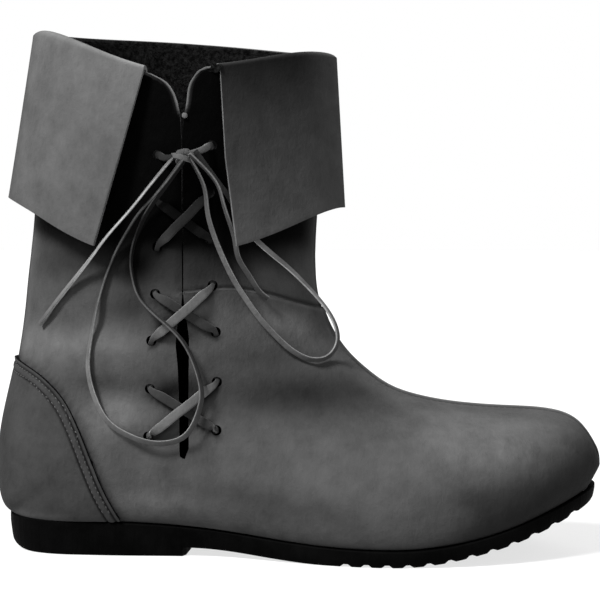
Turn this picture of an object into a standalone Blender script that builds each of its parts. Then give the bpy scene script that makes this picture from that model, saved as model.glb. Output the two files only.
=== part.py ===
"""Medieval ankle boot with a turned-down cuff and side lacing, right foot.

The boot stands on its sole. X runs from the heel to the toe, Y from the laced outer side (-Y) to the
inner side (+Y), Z up, and the origin is under the middle of the boot. Sizes are in millimetres until a
mesh is made.
"""

import math

import bmesh
import bpy
import numpy as np
from mathutils import Matrix, Vector
from mathutils.bvhtree import BVHTree

MM = 0.001
GAP = 0.3  # clearance between two pieces that meet

# Sole: plan, heights and tread
SOLE_BACK = -144.5
SOLE_TIP = 149.5
HEEL_ROUND_FROM = -105.0
TOE_ROUND_FROM = 75.0
HEEL_ROUNDNESS = 2.2
TOE_ROUNDNESS = 2.0
HEEL_BREAST = -52.0
HEEL_BEVEL_FROM = -128.0
HEEL_BEVEL = 4.0
WAIST_LIFT = 4.2
WAIST_END = 20.0
SPRING_FROM = 52.0
SPRING_RADIUS = 156.0
SOLE_TAPER = 1.2
LUG_FROM = 22.0
LUG_TO = 143.0
LUG_PITCH = 10.0
LUG_LENGTH = 4.8
LUG_DEPTH = 1.5
LUG_WALL = 0.6
SOLE_STATIONS = 30

PLAN_COLUMNS = ("x", "centre", "half_width")
PLAN = (
    (-145.0, 0.0, 35.5),
    (-105.0, 0.0, 36.0),
    (-82.0, 0.0, 36.2),
    (-58.0, -0.5, 34.6),
    (-34.0, -2.6, 33.4),
    (-10.0, -4.8, 37.4),
    (15.0, -5.0, 44.2),
    (40.0, -3.6, 50.0),
    (60.0, -1.4, 51.8),
    (78.0, 0.8, 51.2),
    (100.0, 3.4, 50.6),
    (125.0, 6.2, 50.0),
    (152.0, 8.0, 49.0),
)

SOLE_TOP_COLUMNS = ("x", "z")
SOLE_TOP = (
    (-150.0, 17.0),
    (-105.0, 17.0),
    (-65.0, 15.6),
    (-30.0, 12.8),
    (5.0, 9.6),
    (35.0, 8.2),
    (60.0, 8.0),
    (100.0, 7.6),
    (152.0, 5.6),
)

# Insole
FEATHER_INSET = 3.0  # the upper's margin ends this far inside the sole's edge
INSOLE_CLEARANCE = 3.2
INSOLE_THICKNESS = 2.4
INSOLE_STATIONS = 26

# Upper: one row for each section, a plane through a crest point on the front line and a base point on
# the sole's feather line or on the back line. The widest point lies at a share of the way up the plane,
# and stands outside the sole's plan by the bulge.
WALL = 2.0
UPPER_BACK = -149.0
UPPER_TIP = 151.5
CREST_TOE_Y = 8.0
CREST_BEND_X = 20.0  # the front line starts to bend inwards here
SECTION_COLUMNS = ("crest_x", "crest_z", "base_x", "base_z", "widest", "bulge", "top_round", "low_round")
ON_SOLE = -1.0
SECTIONS = (
    (151.5, 40.5, 146.5, ON_SOLE, 1.00, 1.5, 2.0, 2.0),
    (150.9, 47.0, 145.8, ON_SOLE, 0.58, 1.5, 2.1, 2.0),
    (148.6, 53.6, 143.6, ON_SOLE, 0.43, 1.6, 2.2, 2.0),
    (144.0, 60.8, 139.2, ON_SOLE, 0.36, 1.8, 2.3, 2.0),
    (136.0, 66.8, 131.4, ON_SOLE, 0.33, 2.0, 2.3, 2.0),
    (122.0, 69.8, 118.0, ON_SOLE, 0.31, 2.2, 2.3, 2.0),
    (103.0, 70.6, 100.0, ON_SOLE, 0.30, 2.2, 2.2, 2.0),
    (82.0, 72.2, 79.0, ON_SOLE, 0.29, 2.2, 2.1, 2.0),
    (63.0, 75.6, 59.0, ON_SOLE, 0.28, 2.2, 2.0, 2.0),
    (48.0, 80.6, 38.0, ON_SOLE, 0.28, 2.3, 1.9, 2.0),
    (37.0, 88.0, 14.0, ON_SOLE, 0.29, 2.6, 1.85, 2.0),
    (28.6, 95.6, -12.0, ON_SOLE, 0.31, 3.2, 1.85, 2.0),
    (22.6, 103.0, -40.0, ON_SOLE, 0.34, 4.0, 1.9, 2.1),
    (18.4, 110.0, -68.0, ON_SOLE, 0.37, 4.6, 1.95, 2.25),
    (15.4, 116.6, -96.0, ON_SOLE, 0.40, 5.0, 2.0, 2.4),
    (13.6, 122.0, -122.0, ON_SOLE, 0.43, 5.4, 2.0, 2.6),
    (12.6, 126.4, -141.5, ON_SOLE, 0.45, 5.8, 2.0, 2.8),
    (12.0, 130.6, -147.4, 26.6, 0.46, 6.0, 2.0, 2.7),
    (11.6, 135.4, -149.0, 38.0, 0.47, 6.2, 1.95, 2.5),
    (11.4, 141.0, -148.2, 54.0, 0.48, 6.5, 1.9, 2.3),
    (11.3, 147.0, -145.0, 73.0, 0.49, 6.8, 1.85, 2.15),
    (11.4, 152.6, -140.2, 94.0, 0.50, 7.0, 1.8, 2.05),
    (11.6, 159.0, -136.4, 118.0, 0.50, 7.2, 1.75, 2.0),
    (12.0, 167.0, -133.8, 144.0, 0.50, 7.4, 1.7, 2.0),
    (12.3, 181.0, -131.6, 174.0, 0.50, 7.6, 1.7, 2.0),
    (12.8, 208.0, -128.0, 212.0, 0.50, 7.8, 1.7, 2.0),
    (13.4, 241.6, -123.6, 253.4, 0.50, 8.0, 1.7, 2.0),
)
HEEL_CLOSES_AT = 16  # the first section whose base is one point on the back line
FOOT_ROWS = 21  # rows of points from the toe to the heel
HEEL_ROWS = (0.35, 0.65, 0.87)  # closer rows where the heel's plan rounds off
SHAFT_ROWS = 13  # rows from the heel's back to the top of the shaft
HALF_SAMPLES = 120
TUCK_BLEND = 1.5  # the margin's tuck starts to change this many sections before the heel closes
TUCK_DONE = 0.4  # and has changed this many before
TUCK_CHANGE = 0.65

# Raised seam down the front line
SEAM_RIDGE = 0.9
SEAM_HALF_WIDTH = 2.6

# Lacing slit on the outer side, and how far each leather edge stands from its line, by height
SLIT_X = -50.0
SLIT_BOTTOM = 50.0
FOOT_SLIT_SHARE = 0.24  # where the slit's column of points runs on in front of the slit
SLIT_BLEND = 0.04
SLIT_COLUMNS = ("z", "back", "front")
SLIT = (
    (SLIT_BOTTOM, 0.0, 0.0),
    (56.0, 2.2, 2.2),
    (92.0, 2.9, 2.9),
    (112.0, 2.0, 2.0),
    (130.0, 0.9, 0.9),
    (205.0, 0.8, 0.8),
    (214.0, 1.6, 1.2),
    (224.0, 4.2, 2.4),
    (232.0, 9.0, 5.5),
)
COLUMNS_BACK = 8  # columns of points from the base to the slit
COLUMNS_FRONT = 9  # from the slit to the crest; the inner side has as many in all
BASE_CROWDING = 1.6  # columns stand closer together near the base

# Rim of the shaft: it dips at the slit and stands a little higher on the inner side
DIP = 18.0
DIP_BACK_SPAN = 73.0
DIP_FRONT_SPAN = 63.0
DIP_SHAPE = 1.4
INNER_RISE = 4.0
DIP_FROM_Z = 170.0
DIP_FULL_Z = 243.0

# Cuff: a rolled top edge and a flared band that hangs outside the shaft
ROLL_INNER = 2.2
ROLL_RISE = 1.6  # straight start of the roll above the rim
RIM_GAP = 0.4
CUFF_DROP = 78.5
CUFF_END_DROP = 5.0  # how much longer the band is at its ends
CUFF_FLARE_BACK = 15.0
CUFF_FLARE_SIDE = 8.0
CUFF_FLARE_FRONT = 4.0
CUFF_ROLL_ROWS = 5
CUFF_BAND_ROWS = 6
CUFF_TOP_ROUND = 1.5
CUFF_END_COLUMNS = ("drop", "back", "front")
CUFF_ENDS = (
    (0.0, 18.0, 19.0),
    (0.5, 30.0, 22.0),
    (1.0, 42.5, 28.0),
)

# Heel counter: its front edge, from the back line down to the sole
COUNTER_GAP = 0.4
COUNTER_ABOVE_SOLE = 1.2
COUNTER_THICKNESS = 1.7
COUNTER_EDGE_COLUMNS = ("x", "z")
COUNTER_EDGE = (
    (-140.0, 95.0),
    (-123.0, 88.5),
    (-110.5, 78.5),
    (-102.5, 66.0),
    (-96.0, 50.0),
    (-89.0, 32.0),
    (-81.0, 17.0),
)
COUNTER_FIRST_SECTION = 12.0
COUNTER_LAST_SECTION = 23.0
COUNTER_EDGE_STEPS = 25
COUNTER_TOOL_REACH = 70.0

# Lacing: rows of punched holes either side of the slit, joined by crossed thongs
EYELET_RADIUS = 2.2
EYELET_SIDES = 10
EYELET_COLUMNS = ("back_x", "back_z", "front_x", "front_z")
EYELETS = (
    (-67.0, 59.5, -34.0, 62.8),
    (-66.0, 82.7, -34.0, 86.0),
    (-65.0, 106.0, -34.5, 110.0),
    (-63.0, 128.5, -36.0, 132.5),
    (-62.0, 151.0, -37.0, 154.5),
    (-62.0, 173.0, -37.0, 177.0),
    (-62.0, 195.0, -36.0, 199.5),
)
CROSSED_ROWS = ((0, 1), (2, 3), (4, 5))
THONG_WIDTH = 5.0
THONG_THICKNESS = 1.7
THONG_CLEARANCE = 0.5
THONG_JOIN = 0.25  # how far crossed thongs press into each other
THONG_STEPS = 8
# Bow: knot, two loops and two ends of round thong, points from the knot outwards
CORD_RADIUS = 1.5
KNOT_RADIUS = 3.2
CORD_STEP = 8.0
LACE_KNOT = ((-53.5, -45.8, 192.6), (-48.5, -46.4, 194.6), (-43.5, -45.4, 195.4))
LACE_END_BACK = (
    (-54.9, -46.4, 191.8),
    (-63.5, -51.5, 180.5),
    (-73.0, -53.0, 168.5),
    (-82.5, -53.5, 157.0),
    (-91.0, -51.5, 146.0),
    (-101.0, -47.5, 135.0),
    (-110.5, -42.5, 124.5),
    (-120.5, -36.5, 112.5),
)
LACE_LOOP_BACK = (
    (-50.1, -49.6, 190.3),
    (-59.0, -51.0, 178.5),
    (-69.0, -49.5, 168.0),
    (-75.5, -48.0, 159.0),
    (-81.5, -46.5, 149.5),
    (-87.0, -45.0, 137.5),
    (-91.5, -44.0, 123.0),
    (-94.5, -43.0, 108.5),
    (-96.0, -44.0, 94.0),
    (-93.5, -45.0, 80.0),
    (-87.0, -45.5, 68.0),
    (-77.5, -45.5, 61.0),
    (-65.0, -46.0, 57.0),
    (-53.0, -47.0, 58.0),
    (-45.5, -48.0, 64.0),
    (-41.5, -48.0, 73.5),
    (-40.5, -47.5, 83.0),
    (-44.0, -46.5, 95.0),
    (-50.0, -47.5, 107.0),
    (-59.5, -48.5, 116.5),
    (-69.5, -47.0, 126.0),
    (-73.5, -45.5, 135.5),
    (-74.5, -45.0, 144.0),
    (-72.5, -45.5, 154.5),
    (-67.0, -46.5, 166.5),
    (-59.5, -47.5, 177.0),
    (-50.6, -46.3, 189.1),
)
LACE_LOOP_FRONT = (
    (-44.5, -47.7, 191.4),
    (-39.0, -47.0, 180.5),
    (-37.5, -46.0, 168.5),
    (-34.0, -43.5, 154.5),
    (-27.0, -40.5, 137.5),
    (-20.0, -37.5, 125.5),
    (-13.5, -35.0, 116.0),
    (-6.0, -33.0, 107.5),
    (1.0, -31.0, 101.0),
    (8.0, -29.5, 97.0),
    (14.0, -27.0, 96.0),
    (19.5, -23.0, 98.0),
    (23.0, -18.0, 105.0),
    (20.5, -15.0, 115.0),
    (14.0, -15.0, 124.5),
    (7.0, -19.0, 132.5),
    (0.5, -24.5, 139.5),
    (-6.5, -29.5, 146.0),
    (-15.5, -34.5, 154.5),
    (-22.5, -37.5, 164.0),
    (-27.0, -39.5, 173.5),
    (-32.5, -42.0, 181.5),
    (-41.9, -45.3, 195.2),
)
LACE_END_FRONT = (
    (-43.5, -50.2, 193.6),
    (-33.5, -47.0, 182.5),
    (-30.0, -44.5, 172.0),
    (-27.0, -42.0, 161.5),
    (-25.0, -40.0, 153.5),
    (-23.5, -39.0, 145.5),
    (-19.0, -36.5, 137.5),
    (-14.5, -34.0, 130.0),
    (-10.0, -32.0, 126.0),
)

# Tools
PUNCH_LENGTH = 60.0
PUNCH_Y = -45.0


def smooth(values, at):
    """Natural cubic spline through equally spaced values, read at the given positions."""
    values = np.asarray(values, float)
    last = len(values) - 1
    band = 4.0 * np.eye(last - 1) + np.eye(last - 1, k=1) + np.eye(last - 1, k=-1)
    bend = np.zeros_like(values)
    bend[1:-1] = np.linalg.solve(band, 6.0 * (values[2:] - 2.0 * values[1:-1] + values[:-2]))
    at = np.clip(np.asarray(at, float), 0.0, last)
    left = np.minimum(at.astype(int), last - 1)
    part = at - left
    rest = 1.0 - part
    shape = (-1,) + (1,) * (values.ndim - 1)
    part = part.reshape(shape)
    rest = rest.reshape(shape)
    curve = (rest**3 - rest) * bend[left] + (part**3 - part) * bend[left + 1]
    return rest * values[left] + part * values[left + 1] + curve / 6.0


def table_at(table, x, column):
    """One column of a table, read smoothly at x, the table's first column."""
    rows = np.asarray(table, float)
    position = np.interp(x, rows[:, 0], np.arange(len(rows)))
    return smooth(rows[:, column], np.atleast_1d(position))


def ease(share):
    """A smooth step from 0 to 1."""
    share = np.clip(share, 0.0, 1.0)
    return share * share * (3.0 - 2.0 * share)


def plan(x, grow=0.0, back=SOLE_BACK, tip=SOLE_TIP):
    """Centre line and half width of the sole's plan at x, with its heel and toe rounded off."""
    x = np.atleast_1d(np.asarray(x, float))
    heel = np.clip((HEEL_ROUND_FROM - x) / (HEEL_ROUND_FROM - back), 0.0, 1.0)
    toe = np.clip((x - TOE_ROUND_FROM) / (tip - TOE_ROUND_FROM), 0.0, 1.0)
    heel_round = (1.0 - heel**HEEL_ROUNDNESS) ** (1.0 / HEEL_ROUNDNESS)
    toe_round = (1.0 - toe**TOE_ROUNDNESS) ** (1.0 / TOE_ROUNDNESS)
    half = (table_at(PLAN, x, 2) + grow) * heel_round * toe_round
    return table_at(PLAN, x, 1), half


def toe_spring(x):
    """Height that the forefoot curls up, along an arc."""
    return np.maximum(np.asarray(x, float) - SPRING_FROM, 0.0) ** 2 / (2.0 * SPRING_RADIUS)


def sole_top(x):
    return table_at(SOLE_TOP, x, 1) + toe_spring(x)


def sole_bottom(x):
    """Underside without its grooves: flat heel, lifted waist, flat forefoot and sprung toe."""
    x = np.atleast_1d(np.asarray(x, float))
    waist = WAIST_LIFT * (1.0 - ease((x - HEEL_BREAST) / (WAIST_END - HEEL_BREAST)))
    bevel = HEEL_BEVEL * np.clip((HEEL_BEVEL_FROM - x) / (HEEL_BEVEL_FROM - SOLE_BACK), 0.0, 1.0) ** 2
    return np.where(x < HEEL_BREAST, bevel, waist) + toe_spring(x)


def rounded_stations(start, end, count):
    """Stations from start to end, closer together at both ends."""
    turn = np.linspace(0.0, math.pi, count)
    return start + (end - start) * (1.0 - np.cos(turn)) / 2.0


def tidy_mesh(mesh, turn_out):
    """Welds coincident points and, on a closed solid, turns the faces outwards."""
    bm = bmesh.new()
    bm.from_mesh(mesh)
    bmesh.ops.remove_doubles(bm, verts=bm.verts, dist=0.02 * MM)
    bmesh.ops.dissolve_degenerate(bm, edges=bm.edges, dist=0.01 * MM)
    if turn_out:
        bmesh.ops.recalc_face_normals(bm, faces=bm.faces)
    bm.to_mesh(mesh)
    bm.free()


def mesh_object(name, points, faces, material, collection, turn_out=True):
    """Object made from points in millimetres."""
    mesh = bpy.data.meshes.new(name)
    mesh.from_pydata([tuple(p) for p in np.asarray(points, float) * MM], [], faces)
    tidy_mesh(mesh, turn_out)
    mesh.shade_smooth()
    mesh.set_sharp_from_angle(angle=math.radians(40.0))
    obj = bpy.data.objects.new(name, mesh)
    if material:
        mesh.materials.append(material)
    collection.objects.link(obj)
    return obj


def ring_faces(rings, around):
    """Quads of a tube of closed rings, with both ends capped."""
    faces = []
    for i in range(rings - 1):
        for j in range(around):
            k = (j + 1) % around
            faces.append((i * around + j, i * around + k, (i + 1) * around + k, (i + 1) * around + j))
    faces.append(tuple(reversed(range(around))))
    faces.append(tuple(range((rings - 1) * around, rings * around)))
    return faces


def loft(name, rings, material, collection):
    """Closed solid through rings of equal length."""
    rings = np.asarray(rings, float)
    faces = ring_faces(len(rings), rings.shape[1])
    return mesh_object(name, rings.reshape(-1, 3), faces, material, collection)


def sheet_faces(rows, columns, split, flip=False):
    """Triangles of an open sheet of points, alike on its two halves and left open after the column at the split."""
    faces = []
    for i in range(rows - 1):
        for j in range(columns - 1):
            if j == split:
                continue
            a = i * columns + j
            b = a + columns
            mirrored = i > 0 and j >= columns // 2
            pair = ((a, a + 1, b), (a + 1, b + 1, b)) if mirrored else ((a, a + 1, b + 1), (a, b + 1, b))
            faces += [tuple(reversed(face)) for face in pair] if flip else list(pair)
    return faces


def add_material(name, colour, roughness):
    material = bpy.data.materials.new(name)
    material.use_nodes = True
    shader = material.node_tree.nodes["Principled BSDF"]
    shader.inputs["Base Color"].default_value = (*colour, 1.0)
    shader.inputs["Roughness"].default_value = roughness
    shader.inputs["Metallic"].default_value = 0.0
    material.diffuse_color = (*colour, 1.0)
    return material


def thicken(obj, thickness, offset, even=True):
    """Gives an open sheet a wall, inwards with offset -1 and outwards with offset 1."""
    wall = obj.modifiers.new("wall", "SOLIDIFY")
    wall.thickness = thickness * MM
    wall.offset = offset
    wall.use_even_offset = even
    wall.use_quality_normals = True


def cut(obj, tool, operation):
    """Boolean of an object with a hidden tool object."""
    step = obj.modifiers.new(tool.name, "BOOLEAN")
    step.operation = operation
    step.solver = "EXACT"
    step.object = tool
    tool.hide_render = True
    tool.display_type = "WIRE"


def sole_ring(x, bottom):
    """One ring of the outsole at x: a plain side wall that tapers in a little towards the tread."""
    centre, half = (float(v[0]) for v in plan(x))
    top = float(sole_top(x)[0])
    foot = max(half - SOLE_TAPER, 0.0)
    return [
        (x, centre - half, top),
        (x, centre - foot, bottom),
        (x, centre + foot, bottom),
        (x, centre + half, top),
    ]


def outsole(material, collection):
    """Moulded rubber sole with its low heel, arched waist, sprung toe and cross lugs under the forefoot."""
    plain = rounded_stations(SOLE_BACK, SOLE_TIP, SOLE_STATIONS)
    groove_starts = np.arange(LUG_FROM, LUG_TO - LUG_PITCH, LUG_PITCH) + LUG_LENGTH
    stations = [(x, 0.0) for x in plain if x < LUG_FROM or x > LUG_TO]
    stations += [(HEEL_BREAST - LUG_WALL, 0.0), (HEEL_BREAST, 0.0), (LUG_FROM, 0.0)]
    for start in groove_starts:
        end = start + LUG_PITCH - LUG_LENGTH
        stations += [(start, 0.0), (start + LUG_WALL, LUG_DEPTH), (end - LUG_WALL, LUG_DEPTH), (end, 0.0)]
    rings = [sole_ring(x, float(sole_bottom(x)[0]) + groove) for x, groove in sorted(stations)]
    return loft("outsole", rings, material, collection)


def insole(material, collection):
    """Flat leather insole inside the upper's margin, on the sole."""
    inset = FEATHER_INSET + INSOLE_CLEARANCE
    rings = []
    for x in rounded_stations(SOLE_BACK + inset, SOLE_TIP - inset, INSOLE_STATIONS):
        centre, half = (float(v[0]) for v in plan(x, -inset, SOLE_BACK + inset, SOLE_TIP - inset))
        low = float(sole_top(x)[0]) + GAP
        high = low + INSOLE_THICKNESS
        left = centre - half
        right = centre + half
        rings.append([(x, left, high), (x, left, low), (x, right, low), (x, right, high)])
    return loft("insole", rings, material, collection)


def section_table():
    """The section table with the height of each base on the sole worked out."""
    table = np.asarray(SECTIONS, float)
    on_sole = table[:, 3] == ON_SOLE
    table[on_sole, 3] = sole_top(table[on_sole, 2]) + GAP
    return table


def section_at(position):
    """One section, read smoothly at a position along the table, as a dictionary."""
    row = dict(zip(SECTION_COLUMNS, smooth(section_table(), [position])[0]))
    row["base_y"] = 0.0
    row["base_half"] = 0.0
    if position <= HEEL_CLOSES_AT:
        centre, half = plan(row["base_x"], -FEATHER_INSET, SOLE_BACK + FEATHER_INSET, SOLE_TIP - FEATHER_INSET)
        row["base_y"] = float(centre[0])
        row["base_half"] = float(half[0])
        row["base_z"] = float(sole_top(row["base_x"])[0]) + GAP
    turned = ease((position - HEEL_CLOSES_AT + TUCK_BLEND) / (TUCK_BLEND - TUCK_DONE))
    row["tuck_power"] = 1.0 + TUCK_CHANGE * float(turned)
    row["crest_y"] = CREST_TOE_Y * float(ease((row["crest_x"] - CREST_BEND_X) / (UPPER_TIP - CREST_BEND_X)))
    middle_x = row["base_x"] + row["widest"] * (row["crest_x"] - row["base_x"])
    middle_y = row["base_y"] + row["widest"] * (row["crest_y"] - row["base_y"])
    centre, half = plan(middle_x, row["bulge"], UPPER_BACK, UPPER_TIP)
    row["outer_reach"] = float(half[0] - (centre[0] - middle_y))
    row["inner_reach"] = float(half[0] + (centre[0] - middle_y))
    return row


def half_section(row, side):
    """Shares of the way up and points of one side of a section, from its base to its crest."""
    turn = np.linspace(0.0, math.pi / 2.0, HALF_SAMPLES)
    low = 2.0 / row["low_round"]
    top = 2.0 / row["top_round"]
    reach = row["outer_reach"] if side < 0 else row["inner_reach"]
    widest = row["widest"]
    low_share = widest - widest * np.sin(turn[::-1]) ** low
    top_share = widest + (1.0 - widest) * np.sin(turn) ** top
    power = row["tuck_power"]
    spread = np.cos(turn[::-1]) ** (low * power)
    low_out = (row["base_half"] ** power * (1.0 - spread) + reach**power * spread) ** (1.0 / power)
    top_out = reach * np.cos(turn) ** top
    share = np.concatenate((low_share, top_share[1:]))
    out = np.concatenate((low_out, top_out[1:]))
    base = np.array((row["base_x"], row["base_y"], row["base_z"]))
    crest = np.array((row["crest_x"], row["crest_y"], row["crest_z"]))
    points = base + share[:, None] * (crest - base)
    points[:, 1] += side * out
    return share, points


def along(points, at):
    """Points at the given distances along a polyline."""
    steps = np.linalg.norm(np.diff(points, axis=0), axis=1)
    distance = np.concatenate(((0.0,), np.cumsum(steps)))
    return np.stack([np.interp(at, distance, points[:, k]) for k in range(3)], axis=1)


def column_marks(length, slit, back, front):
    """Distances of the columns from the base up to the crest: up to the slit's back edge, then from its front."""
    lower = (slit - back) * np.linspace(0.0, 1.0, COLUMNS_BACK + 1) ** BASE_CROWDING
    upper = np.linspace(slit + front, length - SEAM_HALF_WIDTH, COLUMNS_FRONT - 1)
    seam = np.array((length - SEAM_HALF_WIDTH / 2.0, length))
    return np.concatenate((lower, upper, seam))


def place_columns(row, back, front):
    """One row of points round a section: up the outer side, over the crest and down the inner side."""
    share, outer = half_section(row, -1)
    inner = half_section(row, 1)[1]
    straight = (SLIT_X - row["base_x"]) / (row["crest_x"] - row["base_x"])
    spread = straight - FOOT_SLIT_SHARE
    slit_share = FOOT_SLIT_SHARE + (spread + math.hypot(spread, SLIT_BLEND)) / 2.0
    sides = []
    for points, gaps in ((outer, (back, front)), (inner, (0.0, 0.0))):
        steps = np.linalg.norm(np.diff(points, axis=0), axis=1)
        distance = np.concatenate(((0.0,), np.cumsum(steps)))
        slit = float(np.interp(slit_share, share, distance))
        sides.append(along(points, column_marks(distance[-1], slit, *gaps)))
    row_points = np.concatenate((sides[0], sides[1][-2::-1]))
    raise_seam(row_points, row)
    return row_points


def raise_seam(row_points, row):
    """Lifts the three columns at the crest into a raised seam."""
    crest = COLUMNS_BACK + COLUMNS_FRONT + 1
    axis = np.array((row["crest_x"] - row["base_x"], 0.0, row["crest_z"] - row["base_z"]))
    axis /= np.linalg.norm(axis)
    for column, part in ((crest - 1, 0.8), (crest, 1.0), (crest + 1, 0.8)):
        row_points[column] += SEAM_RIDGE * part * axis


def slit_height(row):
    """Height of the slit's line on a section."""
    straight = (SLIT_X - row["base_x"]) / (row["crest_x"] - row["base_x"])
    return row["base_z"] + max(straight, FOOT_SLIT_SHARE) * (row["crest_z"] - row["base_z"])


def rim_shift(points, side_count):
    """How far the rim's points move: down at the slit on the outer side, up on the inner side."""
    away = points[:, 0] - SLIT_X
    span = np.where(away < 0.0, DIP_BACK_SPAN, DIP_FRONT_SPAN)
    turn = np.clip(np.abs(away) / span, 0.0, 1.0) * math.pi / 2.0
    shift = -DIP * np.cos(turn) ** DIP_SHAPE
    inner = np.arange(len(points)) > side_count
    lift = INNER_RISE * np.sin(np.clip((points[:, 0] - points[:, 0].min()) / np.ptp(points[:, 0]), 0, 1) * math.pi)
    return np.where(inner, lift, shift)


def upper_row(position, with_slit=True):
    """One row of points of the upper's outer face."""
    row = section_at(position)
    height = slit_height(row)
    back = front = 0.0
    if with_slit and height > SLIT_BOTTOM and row["base_x"] < SLIT_X:
        edge = np.asarray(SLIT, float)
        share = ease((height - DIP_FROM_Z) / (DIP_FULL_Z - DIP_FROM_Z))
        back = float(np.interp(height - DIP * share, edge[:, 0], edge[:, 1]))
        front = float(np.interp(height - DIP * share, edge[:, 0], edge[:, 2]))
    points = place_columns(row, back, front)
    share = ease((height - DIP_FROM_Z) / (DIP_FULL_Z - DIP_FROM_Z))
    points[:, 2] += share * rim_shift(points, COLUMNS_BACK + COLUMNS_FRONT + 1)
    return points


def upper_positions():
    """Positions of the upper's rows along the section table."""
    last = len(SECTIONS) - 1
    foot = np.linspace(0.0, HEEL_CLOSES_AT - 1.0, FOOT_ROWS)
    heel = HEEL_CLOSES_AT - 1.0 + np.asarray(HEEL_ROWS)
    shaft = np.linspace(HEEL_CLOSES_AT, last, SHAFT_ROWS + 1)
    return np.concatenate((foot, heel, shaft))


def sheet(name, rows, material, collection, split=COLUMNS_BACK, flip=False):
    """Open sheet object through rows of points."""
    rows = np.asarray(rows, float)
    faces = sheet_faces(rows.shape[0], rows.shape[1], split, flip)
    return mesh_object(name, rows.reshape(-1, 3), faces, material, collection, turn_out=False)


def upper(material, collection, tools):
    """Foot and shaft in one wall, with the slit left open and the lace holes punched."""
    rows = [upper_row(position) for position in upper_positions()]
    obj = sheet("upper", rows, material, collection)
    thicken(obj, WALL, -1.0)
    cut(obj, eyelet_tool(tools), "DIFFERENCE")
    return obj


def eyelet_tool(tools):
    """Punches for the lace holes, one solid of separate cylinders along Y."""
    bm = bmesh.new()
    along_y = Matrix.Rotation(math.pi / 2.0, 3, "X")
    for back_x, back_z, front_x, front_z in EYELETS:
        for x, z in ((back_x, back_z), (front_x, front_z)):
            made = bmesh.ops.create_cone(
                bm,
                cap_ends=True,
                segments=EYELET_SIDES,
                radius1=EYELET_RADIUS * MM,
                radius2=EYELET_RADIUS * MM,
                depth=PUNCH_LENGTH * MM,
            )
            bmesh.ops.rotate(bm, verts=made["verts"], matrix=along_y)
            bmesh.ops.translate(bm, verts=made["verts"], vec=Vector((x, PUNCH_Y, z)) * MM)
    mesh = bpy.data.meshes.new("lace_punch")
    bm.to_mesh(mesh)
    bm.free()
    obj = bpy.data.objects.new("lace_punch", mesh)
    tools.objects.link(obj)
    return obj


def cuff(material, collection):
    """Turned-down collar: rolled over the rim, then a flared band with its ends drawn back from the slit."""
    top = section_at(len(SECTIONS) - 1)
    ends = np.asarray(CUFF_ENDS, float)
    start = np.asarray(SLIT, float)[-1]
    roll = ROLL_INNER + WALL
    shares = np.linspace(0.0, 1.0, CUFF_ROLL_ROWS + 1)
    rows = [cuff_row(top, -WALL, 0.0, 0.0, 0.0, start[1:], start[1:])]
    for share in shares:
        turn = math.pi * share
        gap = start[1:] + (ends[0, 1:] - start[1:]) * ease(share)
        out = roll * (1.0 - math.cos(turn)) - WALL
        lift = ROLL_RISE + roll * math.sin(turn)
        rows.append(cuff_row(top, out, 0.0, lift, share, gap, gap))
    for share in np.linspace(0.0, 1.0, CUFF_BAND_ROWS + 1)[1:]:
        gap = [np.interp(share, ends[:, 0], ends[:, k]) for k in (1, 2)]
        lift = ROLL_RISE - share * (CUFF_DROP - roll)
        rows.append(cuff_row(top, 2.0 * roll - WALL, share, lift, 1.0, gap, ends[0, 1:]))
    obj = sheet("cuff", rows, material, collection, flip=True)
    thicken(obj, WALL, -1.0)
    return obj


def cuff_row(top, out, flare, lift, sharpness, gap, rim_gap):
    """One row of the cuff: the rim's section grown outwards, at a height above the rim's own line."""
    row = dict(top)
    row["base_x"] -= out + flare * CUFF_FLARE_BACK
    row["crest_x"] += out + flare * CUFF_FLARE_FRONT
    row["outer_reach"] += out + flare * CUFF_FLARE_SIDE
    row["inner_reach"] += out + flare * CUFF_FLARE_SIDE
    row["top_round"] += sharpness * (CUFF_TOP_ROUND - row["top_round"])
    points = place_columns(row, gap[0], gap[1])
    rim = place_columns(top, rim_gap[0], rim_gap[1])
    shift = rim_shift(rim, COLUMNS_BACK + COLUMNS_FRONT + 1)
    longer = CUFF_END_DROP * flare * np.minimum(shift, 0.0) / DIP
    points[:, 2] = rim[:, 2] + shift + RIM_GAP + lift + longer
    return points


def counter(material, collection, tools):
    """Heel overlay: a second layer on the upper's outer face, cut to its side view."""
    positions = [p for p in upper_positions() if COUNTER_FIRST_SECTION < p < COUNTER_LAST_SECTION]
    rows = [upper_row(position, with_slit=False) for position in positions]
    obj = sheet("counter", rows, material, collection, split=-1)
    lift = obj.modifiers.new("clear_of_upper", "DISPLACE")
    lift.strength = COUNTER_GAP * MM
    lift.mid_level = 0.0
    thicken(obj, COUNTER_THICKNESS, 1.0, even=False)
    cut(obj, counter_tool(tools), "INTERSECT")
    return obj


def counter_tool(tools):
    """Side view of the counter, drawn across the whole width of the heel."""
    edge = smooth(np.asarray(COUNTER_EDGE, float), np.linspace(0, len(COUNTER_EDGE) - 1, COUNTER_EDGE_STEPS))
    floor = float(sole_top(HEEL_ROUND_FROM)[0]) + COUNTER_ABOVE_SOLE
    edge[:, 1] = np.maximum(edge[:, 1], floor)
    behind = UPPER_BACK - COUNTER_TOOL_REACH
    outline = [(behind, floor), (behind, edge[0, 1])] + [tuple(p) for p in edge]
    rings = [[(x, y, z) for x, z in outline] for y in (-COUNTER_TOOL_REACH, COUNTER_TOOL_REACH)]
    return loft("counter_shape", rings, None, tools)


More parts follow.
